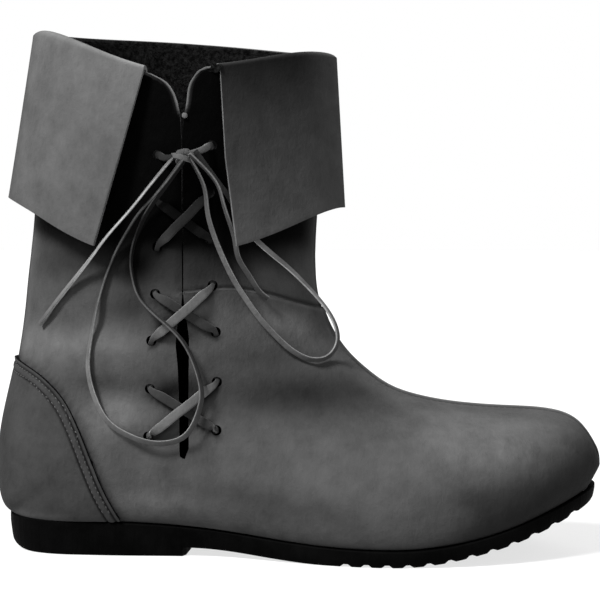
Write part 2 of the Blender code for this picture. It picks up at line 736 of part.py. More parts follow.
def lace_cross(name, lower, higher, wall, material, collection, tools):
    """Two thongs crossed over the slit, the one to the upper front hole on top, joined where they meet."""
    low = EYELETS[lower]
    high = EYELETS[higher]
    over = thong(name, low[:2], high[2:], THONG_THICKNESS - THONG_JOIN, wall, material, collection)
    under = thong(name + "_under", low[2:], high[:2], 0.0, wall, None, tools)
    cut(over, under, "UNION")
    return over


def thong(name, start, end, rise, wall, material, collection):
    """Flat thong along the wall from one hole to another, risen at its middle."""
    rings = []
    centres = []
    for share in np.linspace(0.0, 1.0, THONG_STEPS + 1):
        x = start[0] + share * (end[0] - start[0])
        z = start[1] + share * (end[1] - start[1])
        spot, normal = wall_at(wall, x, z)
        lift = THONG_CLEARANCE + THONG_THICKNESS / 2.0 + rise * math.sin(math.pi * share) ** 2
        centres.append((spot + lift * normal, normal))
    for i, (centre, normal) in enumerate(centres):
        ahead = centres[min(i + 1, THONG_STEPS)][0] - centres[max(i - 1, 0)][0]
        across = normal.cross(ahead).normalized() * THONG_WIDTH / 2.0
        out = normal * THONG_THICKNESS / 2.0
        rings.append([centre - across - out, centre + across - out, centre + across + out, centre - across + out])
    return loft(name, rings, material, collection)


def cord(name, route, radius, material, collection):
    """Round cord along a smooth route, with closed ends."""
    route = np.asarray(route, float)
    length = np.linalg.norm(np.diff(route, axis=0), axis=1).sum()
    count = max(int(round(length / CORD_STEP)), 3)
    points = smooth(route, np.linspace(0.0, len(route) - 1, count + 1)) * MM
    curve = bpy.data.curves.new(name, "CURVE")
    curve.dimensions = "3D"
    curve.bevel_depth = radius * MM
    curve.bevel_resolution = 2
    curve.use_fill_caps = True
    spline = curve.splines.new("POLY")
    spline.points.add(len(points) - 1)
    for point, place in zip(spline.points, points):
        point.co = (*place, 1.0)
    curve.materials.append(material)
    obj = bpy.data.objects.new(name, curve)
    collection.objects.link(obj)
    return obj


def wall_at(wall, x, z):
    """Spot and outward normal of the upper's outer side at x and z, in millimetres."""
    spot, normal, _, _ = wall.ray_cast(Vector((x, -PUNCH_LENGTH * 2.0, z)), Vector((0.0, 1.0, 0.0)))
    return spot, normal


def outer_wall():
    """Search tree of the upper's outer face, in millimetres, with the slit closed."""
    rows = np.asarray([upper_row(position, with_slit=False) for position in upper_positions()])
    faces = sheet_faces(rows.shape[0], rows.shape[1], -1)
    return BVHTree.FromPolygons([tuple(p) for p in rows.reshape(-1, 3)], faces)


def build():
    for obj in list(bpy.data.objects):
        bpy.data.objects.remove(obj, do_unlink=True)
    boot = bpy.data.collections.new("medieval_boot")
    tools = bpy.data.collections.new("cutters")
    for collection in (boot, tools):
        bpy.context.scene.collection.children.link(collection)
    leather = add_material("black_leather", (0.060, 0.059, 0.058), 0.75)
    rubber = add_material("black_rubber", (0.012, 0.012, 0.012), 0.60)
    thong_leather = add_material("thong_leather", (0.075, 0.074, 0.072), 0.65)
    lining = add_material("insole_leather", (0.045, 0.040, 0.036), 0.80)
    outsole(rubber, boot)
    insole(lining, boot)
    upper(leather, boot, tools)
    counter(leather, boot, tools)
    cuff(leather, boot)
    wall = outer_wall()
    for number, (lower, higher) in enumerate(CROSSED_ROWS, start=1):
        lace_cross(f"lace_cross_{number}", lower, higher, wall, thong_leather, boot, tools)
    cord("lace_knot", LACE_KNOT, KNOT_RADIUS, thong_leather, boot)
    cord("lace_end_back", LACE_END_BACK, CORD_RADIUS, thong_leather, boot)
    cord("lace_loop_back", LACE_LOOP_BACK, CORD_RADIUS, thong_leather, boot)
    cord("lace_loop_front", LACE_LOOP_FRONT, CORD_RADIUS, thong_leather, boot)
    cord("lace_end_front", LACE_END_FRONT, CORD_RADIUS, thong_leather, boot)


build()
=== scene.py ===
"""Medieval ankle boot, dressed: leather, lacing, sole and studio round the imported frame.

The shapes come from the same sections as the part's solids. Lengths are in millimetres until a mesh is
made. X runs from the heel to the toe, Y from the laced outer side (-Y) to the inner side, Z up.
"""

import math

import bmesh
import bpy
import numpy as np
from mathutils import Matrix, Vector
from mathutils.bvhtree import BVHTree
from mathutils.kdtree import KDTree


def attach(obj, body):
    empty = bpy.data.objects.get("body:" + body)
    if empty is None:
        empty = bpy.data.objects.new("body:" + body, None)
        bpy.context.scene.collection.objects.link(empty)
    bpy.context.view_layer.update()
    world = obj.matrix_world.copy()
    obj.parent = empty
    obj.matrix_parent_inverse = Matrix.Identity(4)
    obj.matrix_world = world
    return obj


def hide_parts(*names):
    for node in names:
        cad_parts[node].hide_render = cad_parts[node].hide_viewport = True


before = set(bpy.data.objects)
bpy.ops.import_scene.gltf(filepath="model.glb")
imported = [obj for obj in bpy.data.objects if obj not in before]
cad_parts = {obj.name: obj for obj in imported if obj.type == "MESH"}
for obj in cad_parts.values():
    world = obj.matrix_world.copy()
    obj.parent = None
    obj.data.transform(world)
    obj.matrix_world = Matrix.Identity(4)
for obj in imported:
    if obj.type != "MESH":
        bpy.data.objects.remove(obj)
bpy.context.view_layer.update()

# In the tables below, a pair whose name ends with an axis holds the places where a change starts and is
# complete

MM = 0.001

# Gap between the sole and the upper, and the palest shade of a point
GAP = 0.3
PALEST = 3.0

# Sole
SOLE_BACK = -144.5
SOLE_TIP = 150.5
HEEL_ROUND_FROM = -105.0
TOE_ROUND_FROM = 75.0
HEEL_ROUNDNESS = 2.2
TOE_ROUNDNESS = 2.0
HEEL_BREAST = -52.0
HEEL_BEVEL_FROM = -128.0
HEEL_BEVEL = 4.0
WAIST_LIFT = 4.2
WAIST_END = 20.0
SPRING_FROM = 52.0
SPRING_RADIUS = 156.0
SPRING_STRAIGHT_FROM = 118.0
LUG_FROM = 22.0
LUG_TO = 143.0
LUG_PITCH = 10.0
LUG_LENGTH = 4.8
LUG_DEPTH = 1.2
LUG_WALL = 1.5
TOE_SOLE_MORE = 2.2
TOE_SOLE_X = (85.0, 135.0)
HEEL_STEP = 0.7
SOLE_STATIONS = 150
SOLE_WELD = 0.01
SOLE_SHARP = 32.0

# Side of a groove between two lugs: distance in from its edge, depth
LUG_SIDE = ((-0.25, 0.0), (0.15, 0.2), (LUG_WALL, LUG_DEPTH))

# Plan of the sole: x, centre line, half width
PLAN = (
    (-145.0, 0.0, 35.5),
    (-105.0, 0.0, 36.0),
    (-82.0, 0.0, 36.2),
    (-58.0, -0.5, 34.6),
    (-34.0, -2.6, 33.4),
    (-10.0, -4.8, 37.4),
    (15.0, -5.0, 44.2),
    (40.0, -3.6, 50.0),
    (60.0, -1.4, 51.8),
    (78.0, 0.8, 51.2),
    (100.0, 3.4, 50.6),
    (125.0, 6.2, 50.0),
    (152.0, 8.0, 49.0),
)

# Top face of the sole: x, z
SOLE_TOP = (
    (-150.0, 17.0), (-105.0, 17.0), (-65.0, 15.6), (-30.0, 12.8), (5.0, 9.6),
    (35.0, 8.2), (60.0, 8.0), (100.0, 7.6), (152.0, 5.6),
)

# Side of the sole from its top edge to its tread: inset from the plan, share of the way down, extra drop
SOLE_SIDE = (
    (5.0, 0.0, 0.0),
    (1.0, 0.0, 0.0),
    (0.3, 0.0, 0.15),
    (0.0, 0.0, 0.6),
    (0.0, 0.30, 0.0),
    (0.35, 0.55, 0.0),
    (0.8, 0.80, 0.0),
    (1.15, 1.0, -0.9),
    (1.5, 1.0, -0.25),
    (2.2, 1.0, 0.0),
    (6.0, 1.0, 0.0),
)

# Upper
FEATHER_INSET = 3.0
WALL = 2.0
UPPER_BACK = -149.0
UPPER_TIP = 153.4
TIP_THINNED = 14.0
TIP_WALL = 0.05
CREST_TOE_Y = 8.0
CREST_BEND_X = 20.0

# Sections of the upper from the toe to the rim
SECTION_COLUMNS = ("crest_x", "crest_z", "base_x", "base_z", "widest", "bulge", "top_round", "low_round")
ON_SOLE = -1.0
SECTIONS = (
    (153.4, 40.5, 147.5, ON_SOLE, 1.00, 1.5, 2.0, 2.0),
    (152.2, 46.6, 146.6, ON_SOLE, 0.58, 1.5, 2.1, 2.0),
    (149.0, 53.4, 144.0, ON_SOLE, 0.43, 1.6, 2.2, 2.0),
    (144.0, 60.8, 139.2, ON_SOLE, 0.36, 1.8, 2.3, 2.0),
    (136.0, 66.8, 131.4, ON_SOLE, 0.33, 2.0, 2.3, 2.0),
    (122.0, 69.8, 118.0, ON_SOLE, 0.31, 2.2, 2.3, 2.0),
    (103.0, 70.6, 100.0, ON_SOLE, 0.30, 2.2, 2.2, 2.0),
    (82.0, 72.2, 79.0, ON_SOLE, 0.29, 2.2, 2.1, 2.0),
    (63.0, 75.6, 59.0, ON_SOLE, 0.28, 2.2, 2.0, 2.0),
    (48.0, 80.6, 38.0, ON_SOLE, 0.28, 2.3, 1.9, 2.0),
    (37.0, 88.0, 14.0, ON_SOLE, 0.29, 2.6, 1.85, 2.0),
    (28.6, 95.6, -12.0, ON_SOLE, 0.31, 3.2, 1.85, 2.0),
    (22.6, 103.0, -40.0, ON_SOLE, 0.34, 4.0, 1.9, 2.1),
    (18.4, 110.0, -68.0, ON_SOLE, 0.37, 4.6, 1.95, 2.25),
    (15.4, 116.6, -96.0, ON_SOLE, 0.40, 5.0, 2.0, 2.4),
    (13.6, 122.0, -122.0, ON_SOLE, 0.43, 5.4, 2.0, 2.6),
    (12.6, 126.4, -141.5, ON_SOLE, 0.45, 5.8, 2.0, 2.8),
    (12.0, 130.6, -147.4, 26.6, 0.46, 6.0, 2.0, 2.7),
    (11.6, 135.4, -149.0, 38.0, 0.47, 6.2, 1.95, 2.5),
    (11.4, 141.0, -148.2, 54.0, 0.48, 6.5, 1.9, 2.3),
    (11.3, 147.0, -145.0, 73.0, 0.49, 6.8, 1.85, 2.15),
    (11.4, 152.6, -140.2, 94.0, 0.50, 7.0, 1.8, 2.05),
    (11.6, 159.0, -136.4, 118.0, 0.50, 7.2, 1.75, 2.0),
    (12.0, 167.0, -133.8, 144.0, 0.50, 7.4, 1.7, 2.0),
    (12.3, 181.0, -131.6, 174.0, 0.50, 7.6, 1.7, 2.0),
    (12.8, 208.0, -128.0, 212.0, 0.50, 7.8, 1.7, 2.0),
    (13.4, 243.5, -123.6, 255.3, 0.50, 8.0, 1.7, 2.0),
)
HEEL_CLOSES_AT = 16
HALF_SAMPLES = 160
TUCK_BLEND = 1.5
TUCK_DONE = 0.4
TUCK_CHANGE = 0.65

# Grid of the leather: columns from the base to the slit and from the slit to the crest, rows up to the
# ankle seam and above it
BACK_COLUMNS = 40
FRONT_COLUMNS = 54
CREST = BACK_COLUMNS + FRONT_COLUMNS + 1
DENSE_ROWS = 1100
LOW_ROWS = 132
HIGH_ROWS = 66
SMOOTHING = 6
TOE_SMOOTHING = 14
TOE_SMOOTH_ROWS = 12
BACK_EASED = 0.5
FRONT_EASED = 0.45
FRONT_CROWDING = 1.5
SEAM_ROW_GAP = 0.45
HIGH_CROWDING = 1.4
FULLY_OPEN = 0.999
SHARP_LEATHER = 50.0

# Lacing slit
SLIT_X = -50.0
SLIT_BOTTOM = 50.0
FOOT_SLIT_SHARE = 0.24
SLIT_BLEND = 0.04

# Edges of the slit: z, distance behind its line, distance in front of it
SLIT = (
    (SLIT_BOTTOM, 0.0, 0.0),
    (50.1, 3.0, 3.0),
    (54.0, 3.2, 3.2),
    (75.0, 2.9, 2.9),
    (94.0, 3.2, 3.2),
    (106.0, 4.2, 3.3),
    (113.0, 3.5, 2.3),
    (120.0, 1.2, 1.0),
    (128.0, 0.35, 0.35),
    (204.0, 0.35, 0.35),
    (214.0, 0.9, 1.2),
    (220.0, 2.2, 2.3),
    (223.0, 3.3, 2.6),
    (226.0, 5.0, 2.9),
    (228.0, 6.8, 3.4),
    (229.6, 9.6, 4.0),
    (230.5, 13.0, 4.6),
    (231.0, 17.0, 4.8),
    (232.7, 17.0, 6.2),
    (234.0, 17.0, 9.0),
    (234.6, 17.0, 12.0),
    (235.0, 17.0, 15.5),
)

# Rim and cuff
DIP = 18.0
DIP_FRONT = 14.0
DIP_BACK_SPAN = 73.0
DIP_FRONT_SPAN = 63.0
DIP_SHAPE = 1.4
LIP_RAISE = 4.6
LIP_START_X = (-45.0, -38.0)
LIP_END_X = (-33.0, -37.0)
LIP_Z = (238.0, 249.0)
INNER_RISE = 4.0
DIP_Z = (170.0, 243.0)
ROLL_INNER = 0.3
ROLL_RISE = 0.6
RIM_GAP = 0.4
CUFF_DROP = 79.5
CUFF_END_DROP = 5.0
CUFF_END_DROP_FRONT = 9.0
CUFF_FLARE_BACK = 13.0
CUFF_FLARE_SIDE = 8.0
CUFF_FLARE_FRONT = 4.0
CUFF_ENDS_OUT = 5.4
CUFF_HEM_LOWER = 1.8
CUFF_HEM_LOWER_X = (-45.0, -65.0)
CUFF_HEM_LOWER_BACK = 1.6
CUFF_HEM_LOWER_BACK_X = (-95.0, -123.0)
CUFF_HEM_RAISE_FRONT = 3.0
CUFF_HEM_RAISE_X = (-14.0, 13.0)
CUFF_LINED_ROWS = 4
CUFF_ROLL_ROWS = 14
CUFF_BAND_ROWS = 40
CUFF_TOP_ROUND = 1.5
CUFF_SMOOTHING = 3
CUFF_WAVE = 0.55

# Rounding of the cut edges: width and segments
CUFF_EDGE_ROUND = (0.35, 2)
COUNTER_EDGE_ROUND = (0.4, 3)
CUT_EDGE_ANGLE = 60.0

# Waves of the cuff: share, lengths along x and y, phase
CUFF_WAVES = ((0.7, 15.0, 21.0, 0.0), (0.3, 8.5, -13.0, 1.0))

# The cuff's shades below are partly its own tone and partly painted light and shade
# Shade of the cuff on top and at its hem, behind the slit, in front of it and on the inner side
CUFF_SHADES = ((1.64, 1.30), (0.13, 0.98), (0.80, 0.90))
CUFF_OUTER_Y = (-2.0, -24.0)
CUFF_FRONT_X = (-52.0, -38.0)

# Cuff's top fold, rubbed, with a painted highlight, palest by the slit: its row and spread, then lengths
# and gains
RUBBED_AND_LIT_ROWS = (-5.0, 3.0)
RUBBED_AND_LIT_LENGTH = 34.0
RUBBED_AND_LIT_FAR = 0.4
RUBBED_AND_LIT_GAIN = 0.9
RUBBED_AND_LIT_MORE = 0.30

# Ends of the cuff: share of the way down, distance behind the slit's line, distance in front of it
CUFF_ENDS = (
    (0.0, 18.0, 19.0),
    (0.5, 30.0, 22.0),
    (1.0, 42.5, 28.0),
)

# Line on the outer side from which the shade of the cuff fades downwards: x, z
HEM_SHADE = (
    (-132.0, 178.0), (-92.0, 157.0), (-56.0, 156.0), (-26.0, 150.0), (0.0, 157.0),
    (28.0, 163.0),
)

# Soft patches of painted light and shade on the outer side: x, z, length, height, gain
SHADES = (
    (8.0, 80.0, 50.0, 12.5, -0.70),
    (-12.0, 98.0, 24.0, 7.0, -0.32),
    (1.0, 114.0, 17.0, 7.0, 0.60),
    (-45.0, 137.0, 18.0, 9.0, -0.60),
    (-72.0, 143.0, 13.0, 15.0, -0.97),
    (-107.0, 146.0, 24.0, 14.0, -0.60),
    (-76.0, 121.0, 14.0, 8.0, -0.50),
    (-110.0, 104.0, 34.0, 7.5, 0.72),
    (-84.0, 70.0, 14.0, 10.0, 0.95),
    (-90.0, 86.0, 20.0, 4.5, -0.30),
    (-52.0, 83.0, 13.0, 7.0, -0.80),
    (-58.5, 80.5, 6.0, 4.0, -0.80),
    (-57.0, 113.0, 7.0, 6.0, -0.85),
    (-67.0, 27.5, 20.0, 6.5, 0.65),
    (-26.0, 33.0, 30.0, 6.5, -0.28),
    (8.0, 26.0, 32.0, 8.0, -0.30),
    (98.0, 60.0, 36.0, 14.0, 0.58),
    (90.0, 33.0, 20.0, 8.0, -0.40),
)

# Other shades of the upper: strength, and from where to where each comes in
SIDE_Y = (8.0, 22.0)
# Painted shade under the cuff, on the inner side and in the open V, and under the hems on the outer side
INNER_DARK = 0.40
INNER_DARK_Z = (134.0, 180.0)
OPEN_DARK = 0.97
OPEN_DARK_Y = (8.0, -14.0)
OPEN_DARK_Z = (148.0, 166.0)
HEM_FADE = 24.0
# Painted shade low on the toe
TOE_DARK = 0.62
TOE_DARK_X = (60.0, 96.0)
TOE_LINE_X = 70.0
TOE_LINE_Z = 34.0
TOE_LINE_SLOPE = 0.585
TOE_FADE = 34.0
COUNTER_SHADOW = 0.75
COUNTER_SHADOW_WIDTH = 2.8
STRIP_FADE = 6.0
STRIP_LINE = 0.5
STRIP_LINE_WIDTH = 0.9
CREST_TONE_X = (24.0, 32.0)
CREST_TONE_Z = (42.0, 48.0)
WELT_SPAN = (-145.0, 149.0)
WELT_DARK = 0.30
WELT_FADE = 24.0
WORN_EDGE_Z = (213.0, 221.0)
WORN_EDGE_REACH = 17.5
WORN_EDGE_WIDTH = 0.8
WORN_EDGE_GAIN = 2.6

# Lines of painted highlight and shadow across a seam: gain, distance from the seam, width
SEAM_TONE = ((0.35, -0.9, 0.7), (-0.65, 1.0, 0.9))
CREST_TONE = ((1.3, 0.0, 0.6), (-0.55, 2.2, 0.9))

# Seams of the upper, the ankle seam by x and z
ANKLE_SEAM = (
    (-137.0, 123.4), (-122.0, 123.8), (-98.0, 125.3), (-62.0, 127.9), (-36.0, 130.4),
    (-24.0, 130.4), (-10.0, 127.6), (2.0, 123.8), (16.0, 119.4),
)
ANKLE_STEP = 1.0
ANKLE_STEP_BLEND = (4.0, 44.0)
SEAM_BEAD = 0.35
SEAM_BEAD_LENGTH = 2.5
SEAM_END_FADE = 4.0
BACK_STRIP_HALF = 4.2
BACK_STRIP_EDGE = 0.8
BACK_STRIP_RISE = 0.8
BACK_STRIP_FROM = 91.5
BACK_STRIP_START = 4.0
BACK_STRIP_X = -118.0
SEAM_BACK_Y = (BACK_STRIP_HALF + 1.0, BACK_STRIP_HALF - 1.0)
CREST_NEAR_COLUMNS = 26
CREST_FAR = 50.0
CREST_SLIVER = 0.01
CREST_VAMP_Z = (135.0, 115.0)
CREST_ON_SHAFT = 0.55
CREST_TOE_ROWS = 14.0

# Raised front seam: height, distance from its line, width
CREST_PROFILE = ((1.0, 0.0, 0.9), (-0.45, 2.3, 1.0))

# Folds, on the outer side (-1) or the inner side (1): x, z, length, width, angle, depth, side
FOLDS = (
    (18.0, 77.0, 46.0, 9.0, 2.0, -2.4, -1),
    (0.0, 121.0, 34.0, 9.0, -4.0, -1.4, -1),
    (12.0, 104.0, 20.0, 6.0, 20.0, -0.8, -1),
    (-86.0, 78.0, 24.0, 7.0, -4.0, -2.2, -1),
    (-100.0, 115.0, 34.0, 8.0, -2.0, -1.6, -1),
    (-92.0, 100.0, 26.0, 6.0, -3.0, 0.5, -1),
    (-6.0, 96.0, 36.0, 9.0, 4.0, -1.2, 1),
    (8.0, 108.0, 24.0, 6.0, 20.0, -0.9, 1),
    (-70.0, 100.0, 30.0, 8.0, -5.0, -1.1, 1),
    (-80.0, 112.0, 30.0, 8.0, -3.0, 0.8, 1),
    (-30.0, 84.0, 30.0, 10.0, 2.0, 0.6, 1),
)
FOLD_SIDE_Y = (4.0, 18.0)
RIPPLE = 0.18
RIPPLE_LENGTHS = (17.0, 13.0)
RIPPLE_DRIFTS = ((1.3, 23.0), (0.9, 29.0))

# Heel counter
COUNTER_GAP = 0.15
COUNTER_THICKNESS = 1.8
COUNTER_FLOOR = 18.2
COUNTER_ROWS = 110
COUNTER_SIDE_STATIONS = 64
COUNTER_BACK_STATIONS = 110
COUNTER_FIT_ROUNDS = 8
COUNTER_EDGE_SAMPLES = 120
COUNTER_FRONT_SAMPLES = 400
COUNTER_STITCH_ROWS = (1.9, 5.8)
COUNTER_STITCH_FROM = 1.5
COUNTER_STITCH_LIFT = 0.5
COUNTER_GROOVE_WIDTH = 0.6
COUNTER_GROOVE_DEPTH = 0.5
COUNTER_GROOVE_DARK = 0.8
COUNTER_FRONT_LIFT = 0.4
COUNTER_AXIS_X = -105.0
COUNTER_LEVEL = 0.66
COUNTER_LOW_DARK = 0.12
COUNTER_LOW_Z = (40.0, 18.0)
COUNTER_BACK_DARK = 0.18
COUNTER_BACK_X = (-128.0, -146.0)
COUNTER_FOOT_LIGHT = 0.7
COUNTER_FOOT_WIDTH = 2.5
COUNTER_FOOT_X = (-96.0, -120.0)

# Swell between the counter's grooves: height, distance from its edge, width
COUNTER_WELT = ((0.25, 3.8, 1.2),)

# Edge of the counter: x, z
COUNTER_EDGE = (
    (-140.0, 95.0), (-123.0, 88.5), (-110.5, 78.5), (-102.5, 66.0), (-96.0, 50.0),
    (-89.0, 32.0), (-81.0, 17.0),
)

# Stitches: pitch, length and radius
COUNTER_STITCH = (2.7, 2.0, 0.42)
VAMP_STITCH = (3.1, 2.3, 0.42)
STITCH_AROUND = 8
STITCH_SINK = 0.35
STITCH_DIVE = 0.9
STITCH_LOOK_AHEAD = 0.5

# Rings of a stitch: place along it, swell
STITCH_RINGS = ((-1.0, 0.12), (-0.8, 0.7), (-0.4, 1.0), (0.4, 1.0), (0.8, 0.7), (1.0, 0.12))

# Vamp stitches: first and last section, offset sideways and upwards, and the point they face away from
VAMP_STITCH_SECTIONS = (1.6, 13.0)
VAMP_STITCH_SAMPLES = 160
VAMP_STITCH_OFFSET = (2.4, -0.2)
VAMP_CORE = (0.0, 0.0, -60.0)

# Lacing
EYELET_RADIUS = 2.5
PUNCH_SEGMENTS = 28
PUNCH_DEPTH = 12.0
CAST_FROM = 150.0

# Lace holes in pairs: x and z behind the slit, x and z in front of it
EYELETS = (
    (-67.0, 59.5, -34.0, 62.8),
    (-66.0, 82.7, -34.0, 86.0),
    (-65.0, 106.0, -34.5, 110.0),
    (-63.0, 128.5, -36.0, 132.5),
    (-62.0, 151.0, -37.0, 154.5),
    (-62.0, 173.0, -37.0, 177.0),
    (-62.0, 195.0, -36.0, 199.5),
)
THONG_WIDTH = 4.5
THONG_THICKNESS = 1.7
RIBBON_AROUND = 20
RIBBON_SQUARENESS = 0.45
RIBBON_EDGE_FROM = 1.92
RIBBON_SHARP = 70.0
ROUTE_STEPS = 8

# Thong through the holes: shares of the way where it is placed, clearances, sizes and painted light and
# shade
OUTSIDE_SHARES = (0.16, 0.34, 0.5, 0.66, 0.84)
INSIDE_SHARES = (0.25, 0.5, 0.75)
THONG_CLEAR = 0.25
THONG_OVER_CLEAR = 1.2
THONG_UNDER_RISE = 0.3
THONG_INSIDE = 1.3
SIZE_OUTSIDE = 1.0
SIZE_INSIDE = 0.85
SIZE_IN_HOLE = 0.5
PINCH_THICKENS = 0.5
LEVEL_OVER = 1.15
LEVEL_UNDER = 0.36
LEVEL_INSIDE = 0.3
LEVEL_IN_HOLE = 0.45
LACE_DARK = 0.86
LACE_DARK_Z = (138.0, 162.0)

# Thong from the last hole to the knot: first place beside the hole, then sizes and lifts on the way
LAST_BESIDE = 2.4
LAST_BELOW = 0.8
LAST_LIFT = 1.6
LAST_SIZES = (0.75, 0.66, 0.6)
LAST_RISES = (0.8, 0.4)
LAST_TO_END = 0.35
# Painted shade of the thong in the last hole
LAST_HOLE_DARK = 0.3

# Shadow that the lace throws on the leather, and the tack at the slit's top
LACE_SHADOW = 0.80
LACE_SHADOW_SHIFT = (0.6, -2.8)
LACE_SHADOW_WIDTH = 1.7
TACK_PLACE = (-48.6, 213.7)
TACK_SIZE = 2.6
TACK_THICKNESS = 2.0
TACK_LIFT = 0.3
TACK_SAMPLES = 7
TACK_ROUND = 0.8
TACK_LEVEL = 1.4

# Cords of the bow and its knot
CORD_WIDTH = 2.6
CORD_THICKNESS = 1.3
LACE_KNOT = ((-53.5, -45.8, 192.6), (-48.5, -46.4, 194.6), (-43.5, -45.4, 195.4))

# Wraps of the knot: shift along it, slant, radius, first angle, turns
KNOT_WRAPS = ((-1.5, 1.5, 2.5, 0.3, 1.15), (1.9, -1.3, 2.3, 2.2, 1.10))
KNOT_WRAP_SAMPLES = 60
KNOT_WRAP_DRIFT = 1.2
KNOT_WRAP_DENT = 0.25
KNOT_WRAP_DENTS = 3.0

# Thong across the knot's front: places along it, outwards and upwards
KNOT_OVER = ((-5.4, -1.6, 1.2), (-3.4, 1.6, 0.6), (-0.8, 3.6, -1.0), (1.8, 3.2, -2.6), (3.2, 0.6, -3.4))
KNOT_OVER_SLANT = 0.4

# Thongs of the knot: width, thickness and shade
KNOT_WRAP_SIZE = (3.0, 1.4, 0.75)
KNOT_OVER_SIZE = (2.6, 1.3, 0.95)

# Routes of the bow, from the knot
LACE_END_BACK = (
    (-54.9, -46.4, 191.8), (-63.5, -51.5, 180.5), (-73.0, -53.0, 168.5), (-83.5, -52.3, 157.0),
    (-93.5, -44.8, 146.0), (-103.7, -37.9, 135.0), (-113.3, -32.2, 124.5), (-123.4, -26.8, 113.0),
)
LACE_LOOP_BACK = (
    (-50.1, -49.6, 190.3), (-59.0, -50.2, 178.5), (-69.0, -47.8, 168.0), (-75.5, -45.6, 159.0),
    (-81.5, -42.8, 149.5), (-87.0, -41.2, 137.5), (-91.5, -41.1, 123.0), (-94.5, -40.7, 108.5),
    (-96.0, -42.4, 94.0), (-93.5, -41.8, 80.0), (-87.0, -43.5, 68.0), (-77.5, -43.5, 61.0),
    (-65.0, -44.0, 57.0), (-53.0, -43.4, 58.0), (-45.5, -44.6, 64.0), (-41.5, -43.9, 73.5),
    (-40.5, -44.0, 83.0), (-44.0, -42.7, 95.0), (-50.0, -45.5, 107.0), (-59.5, -47.3, 116.5),
    (-69.5, -45.3, 126.0), (-73.5, -43.4, 135.5), (-74.5, -43.0, 144.0), (-72.5, -43.2, 154.5),
    (-67.0, -44.2, 166.5), (-59.5, -45.8, 177.0), (-50.6, -46.3, 189.1),
)
LACE_LOOP_FRONT = (
    (-44.5, -47.7, 191.4), (-39.0, -45.6, 180.5), (-37.5, -43.9, 168.5), (-34.0, -40.9, 154.5),
    (-27.0, -36.9, 137.5), (-20.0, -33.9, 125.5), (-13.5, -31.3, 116.0), (-6.0, -29.3, 107.5),
    (1.0, -27.6, 101.0), (8.0, -26.2, 97.0), (14.0, -24.2, 96.0), (19.5, -19.4, 98.0),
    (23.0, -16.0, 105.0), (20.5, -13.5, 115.0), (14.0, -13.5, 124.5), (7.0, -16.6, 132.5),
    (0.5, -21.8, 139.5), (-6.5, -27.1, 146.0), (-15.5, -32.3, 154.5), (-22.5, -35.4, 164.0),
    (-27.0, -37.8, 173.5), (-32.5, -40.6, 181.5), (-41.9, -45.3, 195.2),
)
LACE_END_FRONT = (
    (-43.5, -50.2, 193.6), (-33.5, -45.6, 182.5), (-30.0, -42.6, 172.0), (-27.0, -39.3, 161.5),
    (-25.0, -37.2, 153.5), (-23.5, -35.8, 145.5), (-19.0, -33.5, 137.5), (-14.5, -30.7, 130.0),
    (-10.0, -28.9, 126.0),
)

# Painted light and shade of each cord along its way: share of the way and level
SHADE_LOOP_BACK = (
    (0.00, 0.45), (0.12, 0.18), (0.20, 0.40), (0.28, 1.10), (0.34, 1.40), (0.42, 0.85),
    (0.54, 0.70), (0.62, 0.38), (0.70, 0.40), (0.78, 0.25), (0.87, 0.05), (1.00, 0.15),
)
SHADE_LOOP_FRONT = (
    (0.00, 0.50), (0.07, 0.60), (0.14, 1.15), (0.22, 1.50), (0.28, 1.25), (0.34, 1.10),
    (0.42, 0.55), (0.50, 0.60), (0.57, 0.90), (0.66, 2.00), (0.71, 2.30), (0.80, 1.80),
    (0.85, 0.40), (1.00, 0.30),
)
SHADE_END_BACK = ((0.0, 1.0), (0.2, 1.7), (0.4, 2.1), (0.6, 2.0), (0.8, 1.4), (1.0, 0.8))
SHADE_END_FRONT = ((0.0, 0.60), (0.45, 0.75), (0.62, 0.57), (0.80, 0.70), (1.0, 0.5))

# Cords of the bow: name, route, shades, far end, twist with its swing, waves and phase, tucks in the knot
BOW = (
    ("loop_back", LACE_LOOP_BACK, SHADE_LOOP_BACK, "knot", (52.0, 34.0, 1.5, 0.4), (4.5, 4.0)),
    ("loop_front", LACE_LOOP_FRONT, SHADE_LOOP_FRONT, "knot", (38.0, 30.0, 1.5, 2.0), (4.0, 2.0)),
    ("end_back", LACE_END_BACK, SHADE_END_BACK, "bare", (62.0, 18.0, 0.8, 0.0), (4.5, 0.0)),
    ("end_front", LACE_END_FRONT, SHADE_END_FRONT, "bare", (45.0, 22.0, 0.8, 1.0), (2.0, 0.0)),
)

# Camera
CAMERA_PLACE = (72.7, -797.0, 161.5)
CAMERA_TURN = 5.0
CAMERA_DOWN = 2.69
CAMERA_LENS = 95.7
CAMERA_SENSOR = 36.0
CAMERA_NEAR = 10.0

# Light: the sky's own, then name, direction to it, spread in degrees and strength of each soft light
SKY_LIGHT = 0.30
FLOOR_GLOW = 0.72
FLOOR_REACH = 9000.0
LIGHT_AWAY = 2000.0
LIGHTS = (
    ("key", (-0.46, -0.46, 0.76), 14.0, 6.6),
    ("fill", (0.75, -0.35, 0.55), 50.0, 0.5),
    ("back", (0.15, 0.80, 0.58), 40.0, 0.9),
)


# Curves and vectors


